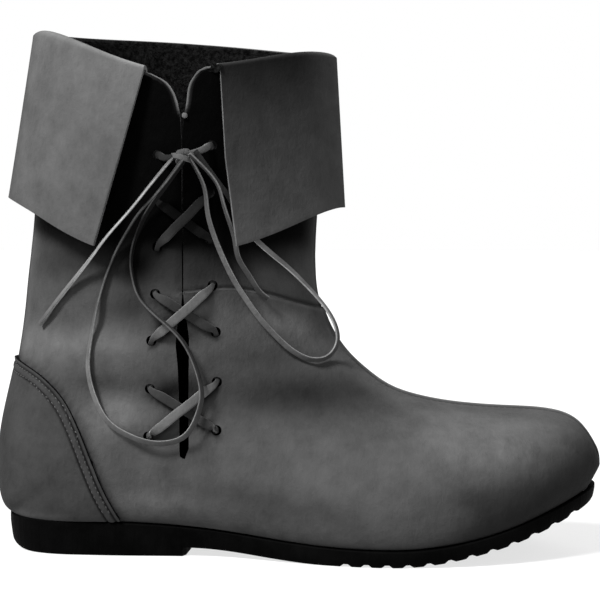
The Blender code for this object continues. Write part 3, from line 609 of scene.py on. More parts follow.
def smooth(values, at):
    """Natural cubic spline through equally spaced values, read at the given positions."""
    values = np.asarray(values, float)
    last = len(values) - 1
    band = 4.0 * np.eye(last - 1) + np.eye(last - 1, k=1) + np.eye(last - 1, k=-1)
    bend = np.zeros_like(values)
    bend[1:-1] = np.linalg.solve(band, 6.0 * (values[2:] - 2.0 * values[1:-1] + values[:-2]))
    at = np.clip(np.asarray(at, float), 0.0, last)
    left = np.minimum(at.astype(int), last - 1)
    part = (at - left).reshape((-1,) + (1,) * (values.ndim - 1))
    rest = 1.0 - part
    curve = (rest**3 - rest) * bend[left] + (part**3 - part) * bend[left + 1]
    return rest * values[left] + part * values[left + 1] + curve / 6.0


def table_at(table, x, column):
    """One column of a table, read smoothly at x, the table's first column."""
    rows = np.asarray(table, float)
    position = np.interp(x, rows[:, 0], np.arange(len(rows)))
    return smooth(rows[:, column], np.atleast_1d(position))


def ease(share):
    """A smooth step from 0 to 1."""
    share = np.clip(share, 0.0, 1.0)
    return share * share * (3.0 - 2.0 * share)


def rise(value, start, end):
    """A smooth step that is 0 at start and 1 at end, whichever is larger."""
    return ease((value - start) / (end - start))


def bump(value, centre, width):
    """A soft hill of height 1."""
    return np.exp(-(((value - centre) / width) ** 2))


def hills(value, profile):
    """Sum of soft hills, each with a height, a centre and a width."""
    return sum(height * bump(value, centre, width) for height, centre, width in profile)


def unit(vectors):
    """Vectors brought to length 1."""
    return vectors / np.linalg.norm(vectors, axis=-1, keepdims=True)


def travelled(points):
    """Distance of each point along a polyline."""
    steps = np.linalg.norm(np.diff(points, axis=0), axis=1)
    return np.concatenate(((0.0,), np.cumsum(steps)))


def read(at, place, vectors):
    """Vectors read between their places along a line."""
    return np.stack([np.interp(at, place, column) for column in vectors.T], axis=-1)


# Sections, as in the part


def plan(x, grow=0.0, back=SOLE_BACK, tip=SOLE_TIP):
    """Centre line and half width of the sole's plan at x, with its heel and toe rounded off."""
    x = np.atleast_1d(np.asarray(x, float))
    heel = np.clip((HEEL_ROUND_FROM - x) / (HEEL_ROUND_FROM - back), 0.0, 1.0)
    toe = np.clip((x - TOE_ROUND_FROM) / (tip - TOE_ROUND_FROM), 0.0, 1.0)
    heel_round = (1.0 - heel**HEEL_ROUNDNESS) ** (1.0 / HEEL_ROUNDNESS)
    toe_round = (1.0 - toe**TOE_ROUNDNESS) ** (1.0 / TOE_ROUNDNESS)
    half = (table_at(PLAN, x, 2) + grow) * heel_round * toe_round
    return table_at(PLAN, x, 1), half


def toe_spring(x):
    """Height that the forefoot curls up, along an arc and then straight on."""
    x = np.asarray(x, float)
    on_arc = np.clip(x, SPRING_FROM, SPRING_STRAIGHT_FROM) - SPRING_FROM
    straight = np.maximum(x - SPRING_STRAIGHT_FROM, 0.0) * on_arc / SPRING_RADIUS
    return on_arc**2 / (2.0 * SPRING_RADIUS) + straight


def sole_top(x):
    return table_at(SOLE_TOP, x, 1) + toe_spring(x)


def sole_bottom(x):
    """Underside without its grooves: flat heel, lifted waist, flat forefoot and sprung toe."""
    x = np.atleast_1d(np.asarray(x, float))
    waist = WAIST_LIFT * (1.0 - rise(x, HEEL_BREAST, WAIST_END))
    bevel = HEEL_BEVEL * np.clip((HEEL_BEVEL_FROM - x) / (HEEL_BEVEL_FROM - SOLE_BACK), 0.0, 1.0) ** 2
    thicker = TOE_SOLE_MORE * rise(x, *TOE_SOLE_X)
    return np.where(x < HEEL_BREAST, bevel, waist) + toe_spring(x) - thicker


def section_table():
    """The section table with the height of each base on the sole worked out."""
    table = np.asarray(SECTIONS, float)
    on_sole = table[:, 3] == ON_SOLE
    table[on_sole, 3] = sole_top(table[on_sole, 2]) + GAP
    return table


def section_at(position):
    """One section, read smoothly at a position along the table, as a dictionary."""
    row = dict(zip(SECTION_COLUMNS, smooth(section_table(), [position])[0]))
    row["base_y"] = 0.0
    row["base_half"] = 0.0
    if position <= HEEL_CLOSES_AT:
        ends = (SOLE_BACK + FEATHER_INSET, SOLE_TIP - FEATHER_INSET)
        centre, half = plan(row["base_x"], -FEATHER_INSET, *ends)
        row["base_y"] = float(centre[0])
        row["base_half"] = float(half[0])
        row["base_z"] = float(sole_top(row["base_x"])[0]) + GAP
    turned = ease((position - HEEL_CLOSES_AT + TUCK_BLEND) / (TUCK_BLEND - TUCK_DONE))
    row["tuck_power"] = 1.0 + TUCK_CHANGE * float(turned)
    row["crest_y"] = CREST_TOE_Y * float(rise(row["crest_x"], CREST_BEND_X, UPPER_TIP))
    middle_x = row["base_x"] + row["widest"] * (row["crest_x"] - row["base_x"])
    middle_y = row["base_y"] + row["widest"] * (row["crest_y"] - row["base_y"])
    centre, half = plan(middle_x, row["bulge"], UPPER_BACK, UPPER_TIP)
    row["outer_reach"] = float(half[0] - (centre[0] - middle_y))
    row["inner_reach"] = float(half[0] + (centre[0] - middle_y))
    return row


def half_section(row, side):
    """Shares of the way up and points of one side of a section, from its base to its crest."""
    turn = np.linspace(0.0, math.pi / 2.0, HALF_SAMPLES)
    low = 2.0 / row["low_round"]
    top = 2.0 / row["top_round"]
    reach = row["outer_reach"] if side < 0 else row["inner_reach"]
    widest = row["widest"]
    low_share = widest - widest * np.sin(turn[::-1]) ** low
    top_share = widest + (1.0 - widest) * np.sin(turn) ** top
    power = row["tuck_power"]
    spread = np.cos(turn[::-1]) ** (low * power)
    low_out = (row["base_half"] ** power * (1.0 - spread) + reach**power * spread) ** (1.0 / power)
    top_out = reach * np.cos(turn) ** top
    share = np.concatenate((low_share, top_share[1:]))
    out = np.concatenate((low_out, top_out[1:]))
    base = np.array((row["base_x"], row["base_y"], row["base_z"]))
    crest = np.array((row["crest_x"], row["crest_y"], row["crest_z"]))
    points = base + share[:, None] * (crest - base)
    points[:, 1] += side * out
    return share, points


def column_marks(length, slit, back, front):
    """Distances of the columns from the base up to the crest, closer together near the crest's seam."""
    low = np.linspace(0.0, 1.0, BACK_COLUMNS + 1)
    lower = (slit - back) * ((1.0 - BACK_EASED) * low + BACK_EASED * ease(low))
    high = np.linspace(0.0, 1.0, FRONT_COLUMNS + 1)
    crowded = 1.0 - (1.0 - high) ** FRONT_CROWDING
    share = FRONT_EASED * ease(high) + (1.0 - FRONT_EASED) * crowded
    start = slit + front
    return np.concatenate((lower, start + (length - start) * share))


def slit_on(row):
    """Share of the way along a section's straight line at which the slit crosses it."""
    return (SLIT_X - row["base_x"]) / (row["crest_x"] - row["base_x"])


def place_columns(row, back, front):
    """One row of points round a section: up the outer side, over the crest and down the inner side."""
    share, outer = half_section(row, -1)
    inner = half_section(row, 1)[1]
    spread = slit_on(row) - FOOT_SLIT_SHARE
    slit_share = FOOT_SLIT_SHARE + (spread + math.hypot(spread, SLIT_BLEND)) / 2.0
    sides = []
    for points, gaps in ((outer, (back, front)), (inner, (0.0, 0.0))):
        distance = travelled(points)
        slit = float(np.interp(slit_share, share, distance))
        sides.append(read(column_marks(distance[-1], slit, *gaps), distance, points))
    return np.concatenate((sides[0], sides[1][-2::-1]))


def rim_shift(points):
    """How far the rim's points move: down at the slit on the outer side, up on the inner side."""
    away = points[:, 0] - SLIT_X
    behind = away < 0.0
    span = np.where(behind, DIP_BACK_SPAN, DIP_FRONT_SPAN)
    turn = np.clip(np.abs(away) / span, 0.0, 1.0) * math.pi / 2.0
    shift = -np.where(behind, DIP, DIP_FRONT) * np.cos(turn) ** DIP_SHAPE
    inner = np.arange(len(points)) > CREST
    share = (points[:, 0] - points[:, 0].min()) / np.ptp(points[:, 0])
    lift = INNER_RISE * np.sin(np.clip(share, 0.0, 1.0) * math.pi)
    return np.where(inner, lift, shift)


def upper_row(position, with_slit=True):
    """One row of points of the upper's outer face, and whether the slit is open on it."""
    row = section_at(position)
    height = row["base_z"] + max(slit_on(row), FOOT_SLIT_SHARE) * (row["crest_z"] - row["base_z"])
    back = front = 0.0
    share = float(rise(height, *DIP_Z))
    if with_slit and height > SLIT_BOTTOM and row["base_x"] < SLIT_X:
        edge = np.asarray(SLIT, float)
        back = float(np.interp(height - DIP * share, edge[:, 0], edge[:, 1]))
        front = float(np.interp(height - DIP_FRONT * share, edge[:, 0], edge[:, 2]))
    points = place_columns(row, back, front)
    points[:, 2] += share * rim_shift(points)
    lip = rise(points[:, 0], *LIP_START_X) * rise(points[:, 0], *LIP_END_X)
    lip *= np.arange(len(points)) < CREST
    points[:, 2] += LIP_RAISE * float(rise(height, *LIP_Z)) * lip
    return points, back + front > 0.0


# Meshes


def add_to_scene(name, data):
    obj = bpy.data.objects.new(name, data)
    bpy.context.scene.collection.objects.link(obj)
    return obj


def new_object(name, points, faces, materials, face_material=None):
    """Object made from points in millimetres, shaded smooth."""
    mesh = bpy.data.meshes.new(name)
    mesh.from_pydata([tuple(p) for p in np.asarray(points, float) * MM], [], [tuple(f) for f in faces])
    for material in materials:
        mesh.materials.append(material)
    if face_material is not None:
        mesh.polygons.foreach_set("material_index", np.asarray(face_material, np.int32))
    mesh.shade_smooth()
    return add_to_scene(name, mesh)


def thicken(obj, thickness, rim_slot, even=False):
    """Gives a sheet its thickness inwards, with the next material inside and the rim's own on its edges."""
    wall = obj.modifiers.new("wall", "SOLIDIFY")
    wall.thickness = thickness * MM
    wall.offset = -1.0
    wall.use_even_offset = even
    wall.material_offset = 1
    wall.material_offset_rim = rim_slot
    return wall


def round_edges(obj, width, segments):
    """Rounds the cut edges of a sheet."""
    soften = obj.modifiers.new("cut_edges", "BEVEL")
    soften.width = width * MM
    soften.segments = segments
    soften.limit_method = "ANGLE"
    soften.angle_limit = math.radians(CUT_EDGE_ANGLE)


def apply_modifiers(obj, sharp):
    """Replaces the mesh with its modified shape, and marks edges sharper than an angle."""
    graph = bpy.context.evaluated_depsgraph_get()
    mesh = bpy.data.meshes.new_from_object(obj.evaluated_get(graph), depsgraph=graph)
    old = obj.data
    obj.modifiers.clear()
    obj.data = mesh
    mesh.name = old.name
    bpy.data.meshes.remove(old)
    mesh.shade_smooth()
    mesh.set_sharp_from_angle(angle=math.radians(sharp))


def hand_over(obj, slot, *nodes):
    """Attaches a piece to the root body and hides the solids that it replaces; its material slot is not
    used.
    """
    if nodes:
        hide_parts(*nodes)
    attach(obj, "root")


def places(obj):
    """Points of a piece's mesh in millimetres."""
    points = np.zeros(len(obj.data.vertices) * 3)
    obj.data.vertices.foreach_get("co", points)
    return points.reshape(-1, 3) / MM


def set_tone(obj, level):
    """Stores a shade for each point of a piece."""
    colours = np.ones((len(level), 4), np.float32)
    colours[:, :3] = np.clip(level, 0.0, PALEST)[:, None]
    layer = obj.data.color_attributes.new("tone", "FLOAT_COLOR", "POINT")
    layer.data.foreach_set("color", colours.ravel())


def grid_quads(index, left_out=None):
    """Quads between the points of a grid, row by row, with one column of them left out if asked."""
    quads = np.stack((index[:-1, :-1], index[:-1, 1:], index[1:, 1:], index[1:, :-1]), axis=-1)
    if left_out is not None:
        quads = np.delete(quads, left_out, axis=1)
    return quads.reshape(-1, 4)


def turned_over(quads):
    """The same quads seen from their other side."""
    return quads[:, [0, 3, 2, 1]]


def slit_mesh(points, index):
    """Mesh of a grid of points, open along the slit: points, quads, and each point's row and column."""
    used, quads = np.unique(grid_quads(index, BACK_COLUMNS), return_inverse=True)
    row, column = np.divmod(used, points.shape[1])
    return points.reshape(-1, 3)[used], quads.reshape(-1, 4), row, column


def tube_faces(rings, around, start=0):
    """Faces of a tube with closed ends, from rings of points one after another."""
    index = start + np.arange(rings * around).reshape(rings, around)
    wrapped = np.concatenate((index, index[:, :1]), axis=1)
    return list(grid_quads(wrapped)) + [index[0][::-1], index[-1]]


def vertex_normals(points, quads):
    """Area-weighted vertex normals of a quad mesh."""
    a, b, c, d = points[quads.T]
    diagonal = np.cross(c - a, d - b)
    normals = np.zeros_like(points)
    for corner in range(4):
        np.add.at(normals, quads[:, corner], diagonal)
    return normals / np.maximum(np.linalg.norm(normals, axis=1, keepdims=True), 1e-12)


def quad_edges(quads):
    """Edges of every quad as sorted pairs of points, without those that have no length."""
    pairs = np.sort(np.concatenate([quads[:, [k, (k + 1) % 4]] for k in range(4)]), axis=1)
    return pairs[pairs[:, 0] != pairs[:, 1]]


def relax(points, quads, times, fixed):
    """Laplacian smoothing, half way at a time, that leaves the fixed points where they are."""
    pairs = np.unique(quad_edges(quads), axis=0)
    count = np.bincount(pairs.ravel(), minlength=len(points))[:, None]
    points = points.copy()
    for _ in range(times):
        total = np.zeros_like(points)
        np.add.at(total, pairs[:, 0], points[pairs[:, 1]])
        np.add.at(total, pairs[:, 1], points[pairs[:, 0]])
        moved = points + 0.5 * (total / np.maximum(count, 1) - points)
        points = np.where(fixed[:, None], points, moved)
    return points


def border(quads, count):
    """True for the points on an open edge of the mesh."""
    edges, times = np.unique(quad_edges(quads), axis=0, return_counts=True)
    found = np.zeros(count, bool)
    found[edges[times == 1].ravel()] = True
    return found


def search_tree(points, faces):
    return BVHTree.FromPolygons([tuple(p) for p in points], [tuple(f) for f in faces])


def distance_to(line, points):
    """Distance of each point from a line given by close points."""
    tree = KDTree(len(line))
    for k, spot in enumerate(line):
        tree.insert(spot, k)
    tree.balance()
    return np.asarray([tree.find(point)[2] for point in points])


def hit(origin, ray):
    """Spot where a ray meets the closed upper, and the normal there that faces the ray."""
    spot, normal, _, _ = CLOSED_TREE.ray_cast(Vector(origin), Vector(ray))
    if normal.dot(Vector(ray)) > 0.0:
        normal = -normal
    return np.array(spot), np.array(normal)


def wall_at(x, z):
    """Spot and outward normal of the upper's outer side at x and z."""
    return hit((x, -CAST_FROM, z), (0.0, 1.0, 0.0))


def seat_line(tree, line, outward):
    """Points of a line brought onto a surface, with its normals on the outward side."""
    found = [tree.find_nearest(Vector(point)) for point in line]
    spots = np.asarray([spot for spot, _, _, _ in found])
    normals = np.asarray([normal for _, normal, _, _ in found])
    inward = np.sum(normals * outward, axis=1) < 0.0
    normals[inward] = -normals[inward]
    return spots, normals


# Leather of the upper


def seam_height(x):
    """Height of the ankle seam at x."""
    return table_at(ANKLE_SEAM, x, 1)


def seamed(x, y):
    """Share of the ankle seam at a place: it runs from the slit round the front to the back strip."""
    return 1.0 - rise(x, SLIT_X, SLIT_X - SEAM_END_FADE) * rise(y, *SEAM_BACK_Y)


def leather_grid(with_slit):
    """Outer face of the upper with its rows fitted to the ankle seam, as a mesh with a slit."""
    made = [upper_row(position, with_slit) for position in np.linspace(0.0, len(SECTIONS) - 1, DENSE_ROWS)]
    grid = np.asarray([points for points, _ in made])
    opened = np.asarray([is_open for _, is_open in made], float)
    dense = np.arange(DENSE_ROWS)
    columns = grid.shape[1]
    rows = LOW_ROWS + HIGH_ROWS
    climb = 1.0 - (1.0 - np.linspace(0.0, 1.0, HIGH_ROWS)) ** HIGH_CROWDING
    at = np.zeros((rows, columns))
    for j in range(columns):
        above = grid[:, j, 2] - seam_height(grid[:, j, 0])
        crossing = np.nonzero((above[:-1] < 0.0) & (above[1:] >= 0.0))[0][-1]
        seam = crossing + above[crossing] / (above[crossing] - above[crossing + 1])
        step = SEAM_ROW_GAP / np.linalg.norm(grid[crossing + 1, j] - grid[crossing, j])
        at[:LOW_ROWS, j] = np.linspace(0.0, seam, LOW_ROWS)
        at[LOW_ROWS:, j] = seam + step + climb * (DENSE_ROWS - 1 - seam - step)
    at[:, BACK_COLUMNS + 1] = at[:, BACK_COLUMNS]
    points = np.stack([read(at[:, j], dense, grid[:, j]) for j in range(columns)], axis=1)
    index = np.arange(rows * columns).reshape(rows, columns)
    closed_back = at[:, 0] >= HEEL_CLOSES_AT * (DENSE_ROWS - 1) / (len(SECTIONS) - 1)
    index[closed_back, -1] = index[closed_back, 0]
    closed_slit = np.interp(at[:, BACK_COLUMNS], dense, opened) < FULLY_OPEN
    index[closed_slit, BACK_COLUMNS + 1] = index[closed_slit, BACK_COLUMNS]
    points[closed_slit, BACK_COLUMNS + 1] = points[closed_slit, BACK_COLUMNS]
    index[0, CREST + 1 :] = index[0, :CREST][::-1]
    return slit_mesh(points, index)


def shaped_leather(with_slit):
    """The grid smoothed, with its seams, folds and hollows worked in."""
    points, quads, row, column = leather_grid(with_slit)
    edge = border(quads, len(points))
    points = relax(points, quads, SMOOTHING, edge)
    rounded = relax(points, quads, TOE_SMOOTHING, row > TOE_SMOOTH_ROWS)
    rounded[edge, 2] = points[edge, 2]
    normals = vertex_normals(rounded, quads)
    if normals[np.argmin(rounded[:, 1]), 1] > 0.0:
        quads = quads[:, ::-1]
        normals = -normals
    return rounded + surface_lift(rounded, row, column)[:, None] * normals, quads


def surface_lift(points, row, column):
    """How far the leather stands out from its plain shape at each point."""
    x, y, z = points.T
    crest = np.nonzero(column == CREST)[0]
    line = points[crest[np.argsort(row[crest])]]
    sliver = np.concatenate((line, line + (0.0, 0.0, CREST_SLIVER)))
    tree = search_tree(sliver, grid_quads(np.arange(len(sliver)).reshape(2, -1)))
    from_crest = np.full(len(points), CREST_FAR)
    for k in np.nonzero(np.abs(column - CREST) < CREST_NEAR_COLUMNS)[0]:
        from_crest[k] = tree.find_nearest(Vector(points[k]))[3]
    height = CREST_ON_SHAFT + (1.0 - CREST_ON_SHAFT) * rise(z, *CREST_VAMP_Z)
    lift = hills(from_crest, CREST_PROFILE) * height * ease(row / CREST_TOE_ROWS)
    on_strip = rise(np.abs(y), BACK_STRIP_HALF, BACK_STRIP_HALF - BACK_STRIP_EDGE) * (x < BACK_STRIP_X)
    lift += BACK_STRIP_RISE * on_strip * rise(z, BACK_STRIP_FROM, BACK_STRIP_FROM + BACK_STRIP_START)
    above = z - seam_height(x)
    here = seamed(x, y)
    bead = SEAM_BEAD * here * np.exp(np.minimum(above, 0.0) / SEAM_BEAD_LENGTH)
    step = ANKLE_STEP * np.maximum(here, rise(above, *ANKLE_STEP_BLEND))
    return lift + np.where(row < LOW_ROWS, bead, -step) + folds(x, y, z)


def folds(x, y, z):
    """Soft folds and hollows of worn leather, each a long hill or trough in the side view."""
    total = np.zeros_like(x)
    for at_x, at_z, length, width, angle, depth, side in FOLDS:
        turn = math.radians(angle)
        run = (x - at_x) * math.cos(turn) + (z - at_z) * math.sin(turn)
        across = (z - at_z) * math.cos(turn) - (x - at_x) * math.sin(turn)
        hill = bump(run, 0.0, length) * bump(across, 0.0, width)
        total += depth * hill * rise(y * side, *FOLD_SIDE_Y)
    (drift_x, drift_x_length), (drift_z, drift_z_length) = RIPPLE_DRIFTS
    wave_x = np.sin(x / RIPPLE_LENGTHS[0] + drift_x * np.sin(z / drift_x_length))
    wave_z = np.sin(z / RIPPLE_LENGTHS[1] + drift_z * np.sin(x / drift_z_length))
    return total + RIPPLE * wave_x * wave_z


# Materials


class Nodes:
    """A shader's node tree with short ways to add to it; a value may also be another node's output."""

    def __init__(self, tree):
        self.tree = tree

    def feed(self, node, inputs):
        """Sets some inputs of a node."""
        for key, value in inputs.items():
            if isinstance(value, bpy.types.NodeSocket):
                self.tree.links.new(value, node.inputs[key])
            else:
                node.inputs[key].default_value = value

    def add(self, kind, inputs=None, **settings):
        """A new node with some settings and inputs."""
        node = self.tree.nodes.new("ShaderNode" + kind)
        for key, value in settings.items():
            setattr(node, key, value)
        self.feed(node, inputs or {})
        return node

    def noise(self, scale, detail, rough, stretch=(1.0, 1.0, 1.0)):
        """Noise in object space, features per metre."""
        place = self.add("TexCoord").outputs["Object"]
        place = self.add("Mapping", {"Vector": place, "Scale": stretch}).outputs["Vector"]
        inputs = {"Vector": place, "Scale": scale, "Detail": detail, "Roughness": rough}
        return self.add("TexNoise", inputs).outputs["Fac"]

    def combine(self, operation, a, b):
        return self.add("Math", {0: a, 1: b}, operation=operation).outputs[0]

    def spread(self, value, low, high, out_low, out_high):
        inputs = {"Value": value, "From Min": low, "From Max": high, "To Min": out_low, "To Max": out_high}
        return self.add("MapRange", inputs).outputs["Result"]

    def mix(self, factor, a, b, blend="MIX"):
        return self.add("Mix", {0: factor, 6: a, 7: b}, data_type="RGBA", blend_type=blend).outputs[2]

    def greys(self, value, low, high, dark, light):
        """Grey that goes from dark to light while a value goes from low to high."""
        return self.mix(self.spread(value, low, high, 0.0, 1.0), grey(dark), grey(light))

    def toned(self, colour):
        """A colour shaded by the piece's own tone at each point."""
        tone = self.add("Attribute", attribute_name="tone").outputs["Color"]
        return self.mix(1.0, colour, tone, "MULTIPLY")

    def bumps(self, *layers):
        """Bump from several heights, each with a depth in metres."""
        inputs = {"Strength": 1.0}
        for height, depth in layers:
            inputs.update({"Height": height, "Distance": depth})
            inputs["Normal"] = self.add("Bump", inputs).outputs["Normal"]
        return inputs["Normal"]


def grey(level):
    return (level, level, level, 1.0)


def nubuck(nodes, dark, light, toned=True):
    """Black nubuck: soft clouds, brushed nap, fine grain and a few pale scuffs."""
    clouds = nodes.noise(24.0, 3.0, 0.6)
    patches = nodes.noise(95.0, 5.0, 0.62)
    nap = nodes.noise(520.0, 4.0, 0.6, (1.0, 1.0, 0.45))
    grain = nodes.noise(2300.0, 2.0, 0.5)
    scuffs = nodes.noise(330.0, 6.0, 0.75)
    colour = nodes.greys(nodes.combine("ADD", clouds, patches), 0.72, 1.28, dark, light)
    colour = nodes.mix(nodes.spread(nap, 0.3, 0.7, 0.0, 0.22), colour, grey(light * 1.25))
    colour = nodes.mix(nodes.spread(scuffs, 0.66, 0.8, 0.0, 0.35), colour, grey(light * 1.9))
    return {
        "Base Color": nodes.toned(colour) if toned else colour,
        "Roughness": nodes.spread(patches, 0.3, 0.7, 0.72, 0.9),
        "Specular IOR Level": 0.025,
        "Sheen Weight": 0.01,
        "Sheen Roughness": 0.5,
        "Normal": nodes.bumps((patches, 0.0009), (nap, 0.00028), (grain, 0.00010)),
    }


def flesh_side(nodes):
    """Rough black inner side of the leather."""
    fibres = nodes.noise(420.0, 6.0, 0.8)
    return {
        "Base Color": nodes.greys(fibres, 0.42, 0.68, 0.0008, 0.016),
        "Roughness": 0.95,
        "Specular IOR Level": 0.04,
        "Normal": nodes.bumps((fibres, 0.0010), (nodes.noise(1500.0, 3.0, 0.7), 0.0003)),
    }


def cut_edge(nodes, level, toned=False):
    """Raw cut edge of the leather, paler than its dyed face and fibrous."""
    fibres = nodes.noise(900.0, 5.0, 0.7)
    both = nodes.combine("MULTIPLY", fibres, nodes.noise(120.0, 3.0, 0.6))
    colour = nodes.greys(both, 0.12, 0.4, level * 0.45, level)
    return {
        "Base Color": nodes.toned(colour) if toned else colour,
        "Roughness": 0.85,
        "Specular IOR Level": 0.25,
        "Normal": nodes.bumps((fibres, 0.0003)),
    }


def moulded_rubber(nodes):
    """Moulded black rubber, matt, with a faint bloom and fine upright marks on its side."""
    bloom = nodes.noise(60.0, 5.0, 0.65)
    ribs = nodes.noise(420.0, 3.0, 0.6, (1.0, 1.0, 0.12))
    return {
        "Base Color": nodes.greys(bloom, 0.35, 0.75, 0.0006, 0.0022),
        "Roughness": nodes.spread(bloom, 0.3, 0.7, 0.55, 0.75),
        "Specular IOR Level": 0.012,
        "Normal": nodes.bumps((ribs, 0.0004), (nodes.noise(1400.0, 3.0, 0.6), 0.00012)),
    }


def waxed_thread(nodes):
    """Waxed black thread with its twist."""
    twist = nodes.noise(2600.0, 2.0, 0.5)
    return {
        "Base Color": nodes.greys(twist, 0.3, 0.7, 0.008, 0.030),
        "Roughness": 0.55,
        "Normal": nodes.bumps((twist, 0.0002)),
    }


def pale_floor(nodes):
    """Pale floor that glows, so that it is nearly white."""
    return {
        "Base Color": nodes.greys(nodes.noise(3.0, 2.0, 0.5), 0.3, 0.7, 0.20, 0.22),
        "Roughness": 0.9,
        "Emission Color": grey(1.0),
        "Emission Strength": FLOOR_GLOW,
    }


def new_material(name, recipe, *levels, **options):
    """Material whose Principled shader takes what a recipe gives."""
    material = bpy.data.materials.new(name)
    material.use_nodes = True
    nodes = Nodes(material.node_tree)
    nodes.feed(material.node_tree.nodes["Principled BSDF"], recipe(nodes, *levels, **options))
    return material


NUBUCK = new_material("black_nubuck", nubuck, 0.037, 0.058)
FLESH = new_material("flesh_side", flesh_side)
EDGE = new_material("cut_edge", cut_edge, 0.15)
THONG = new_material("thong_leather", nubuck, 0.050, 0.090)
THONG_EDGE = new_material("thong_edge", cut_edge, 0.26, toned=True)
RUBBER = new_material("black_rubber_moulded", moulded_rubber)
THREAD = new_material("black_thread", waxed_thread)
INSOLE = new_material("insole_leather_worn", nubuck, 0.030, 0.050, toned=False)
FLOOR = new_material("pale_floor", pale_floor)


# Shades painted per point


def lace_shadow(x, z):
    """Share of the dark line under each outside crossing of the lace."""
    shade = np.zeros_like(x)
    for low, high in zip(EYELETS[0::2], EYELETS[1::2]):
        for start, end in ((low[:2], high[2:]), (low[2:], high[:2])):
            way = np.subtract(end, start)
            from_x = x - start[0] - LACE_SHADOW_SHIFT[0]
            from_z = z - start[1] - LACE_SHADOW_SHIFT[1]
            share = np.clip((from_x * way[0] + from_z * way[1]) / np.dot(way, way), 0.0, 1.0)
            away = np.hypot(from_x - share * way[0], from_z - share * way[1])
            shade = np.maximum(shade, bump(away, 0.0, LACE_SHADOW_WIDTH))
    return shade


def upper_tone(x, y, z, from_counter):
    """Painted light and shade: near black in the open V, dark under the hems and low on the toe, paler on
    the vamp.
    """
    outer = rise(-y, *SIDE_Y)
    inner = rise(y, *SIDE_Y)
    level = 1.0 - INNER_DARK * inner * rise(z, *INNER_DARK_Z)
    below_hem = np.interp(x, *np.asarray(HEM_SHADE).T) - z
    level *= 1.0 - OPEN_DARK * rise(y, *OPEN_DARK_Y) * (1.0 - ease(below_hem / HEM_FADE))
    level *= 1.0 - OPEN_DARK * outer * rise(z, *OPEN_DARK_Z)
    under_line = TOE_LINE_Z + TOE_LINE_SLOPE * (x - TOE_LINE_X) - z
    level *= 1.0 - TOE_DARK * rise(x, *TOE_DARK_X) * ease(under_line / TOE_FADE)
    for at_x, at_z, length, height, gain in SHADES:
        level *= 1.0 + gain * outer * bump(x, at_x, length) * bump(z, at_z, height)
    level *= 1.0 - LACE_SHADOW * outer * lace_shadow(x, z)
    level *= 1.0 - COUNTER_SHADOW * bump(from_counter, 0.0, COUNTER_SHADOW_WIDTH)
    above = z - seam_height(np.clip(x, ANKLE_SEAM[0][0], ANKLE_SEAM[-1][0]))
    level *= 1.0 + seamed(x, y) * hills(above, SEAM_TONE)
    strip = rise(x, BACK_STRIP_X, BACK_STRIP_X - STRIP_FADE)
    strip *= rise(z, BACK_STRIP_FROM, BACK_STRIP_FROM + STRIP_FADE)
    level *= 1.0 - STRIP_LINE * strip * bump(np.abs(y), BACK_STRIP_HALF, STRIP_LINE_WIDTH)
    off_crest = np.abs(y - CREST_TOE_Y * rise(x, CREST_BEND_X, UPPER_TIP))
    level *= 1.0 + rise(x, *CREST_TONE_X) * rise(z, *CREST_TONE_Z) * hills(off_crest, CREST_TONE)
    above_sole = z - sole_top(np.clip(x, *WELT_SPAN))
    return level * (1.0 - WELT_DARK * rise(above_sole, WELT_FADE, 0.0))


def counter_tone(x, z):
    """A little darker than the upper, more so towards the sole and the back, with a pale foot."""
    level = COUNTER_LEVEL - COUNTER_LOW_DARK * rise(z, *COUNTER_LOW_Z)
    level *= 1.0 - COUNTER_BACK_DARK * rise(x, *COUNTER_BACK_X)
    foot = bump(z, COUNTER_FLOOR, COUNTER_FOOT_WIDTH) * rise(x, *COUNTER_FOOT_X)
    return level * (1.0 + COUNTER_FOOT_LIGHT * foot)


def cuff_tone(x, y, hang, past_roll):
    """Partly painted light: pale panel behind the slit, darker front panel, the fold on top worn and
    highlighted.
    """
    back, front, inner = (top + (hem - top) * hang for top, hem in CUFF_SHADES)
    outer = back + rise(x, *CUFF_FRONT_X) * (front - back)
    level = inner + rise(y, *CUFF_OUTER_Y) * (outer - inner)
    # Pale band along the fold on top: wear and a painted highlight
    pale_band = RUBBED_AND_LIT_FAR + (1.0 - RUBBED_AND_LIT_FAR) * bump(x, SLIT_X, RUBBED_AND_LIT_LENGTH)
    pale_band *= bump(past_roll, *RUBBED_AND_LIT_ROWS)
    return level * (1.0 + RUBBED_AND_LIT_GAIN * pale_band) + RUBBED_AND_LIT_MORE * pale_band


# Leather pieces


def upper_piece(counter_line):
    """The whole upper in one wall with its punched lace holes."""
    points, quads = shaped_leather(True)
    edge = points[border(quads, len(points))]
    worn = (edge[:, 1] < 0.0) & (edge[:, 2] > WORN_EDGE_Z[0])
    worn &= np.abs(edge[:, 0] - SLIT_X) < WORN_EDGE_REACH
    obj = new_object("upper_leather", points, quads, (NUBUCK, FLESH, EDGE))
    group = obj.vertex_groups.new(name="wall")
    for number, weight in enumerate(np.maximum(ease((UPPER_TIP - points[:, 0]) / TIP_THINNED), TIP_WALL)):
        group.add([number], float(weight), "REPLACE")
    thicken(obj, WALL, 2).vertex_group = group.name
    holes = obj.modifiers.new("lace_holes", "BOOLEAN")
    holes.operation = "DIFFERENCE"
    holes.solver = "EXACT"
    holes.object = punch_tool()
    apply_modifiers(obj, SHARP_LEATHER)
    bpy.data.objects.remove(bpy.data.objects["punch_tool"], do_unlink=True)
    points = places(obj)
    level = upper_tone(*points.T, distance_to(counter_line, points))
    pale_band = bump(distance_to(edge[worn], points), 0.0, WORN_EDGE_WIDTH) * rise(points[:, 2], *WORN_EDGE_Z)
    set_tone(obj, level + WORN_EDGE_GAIN * pale_band)
    hand_over(obj, "black_leather", "upper")


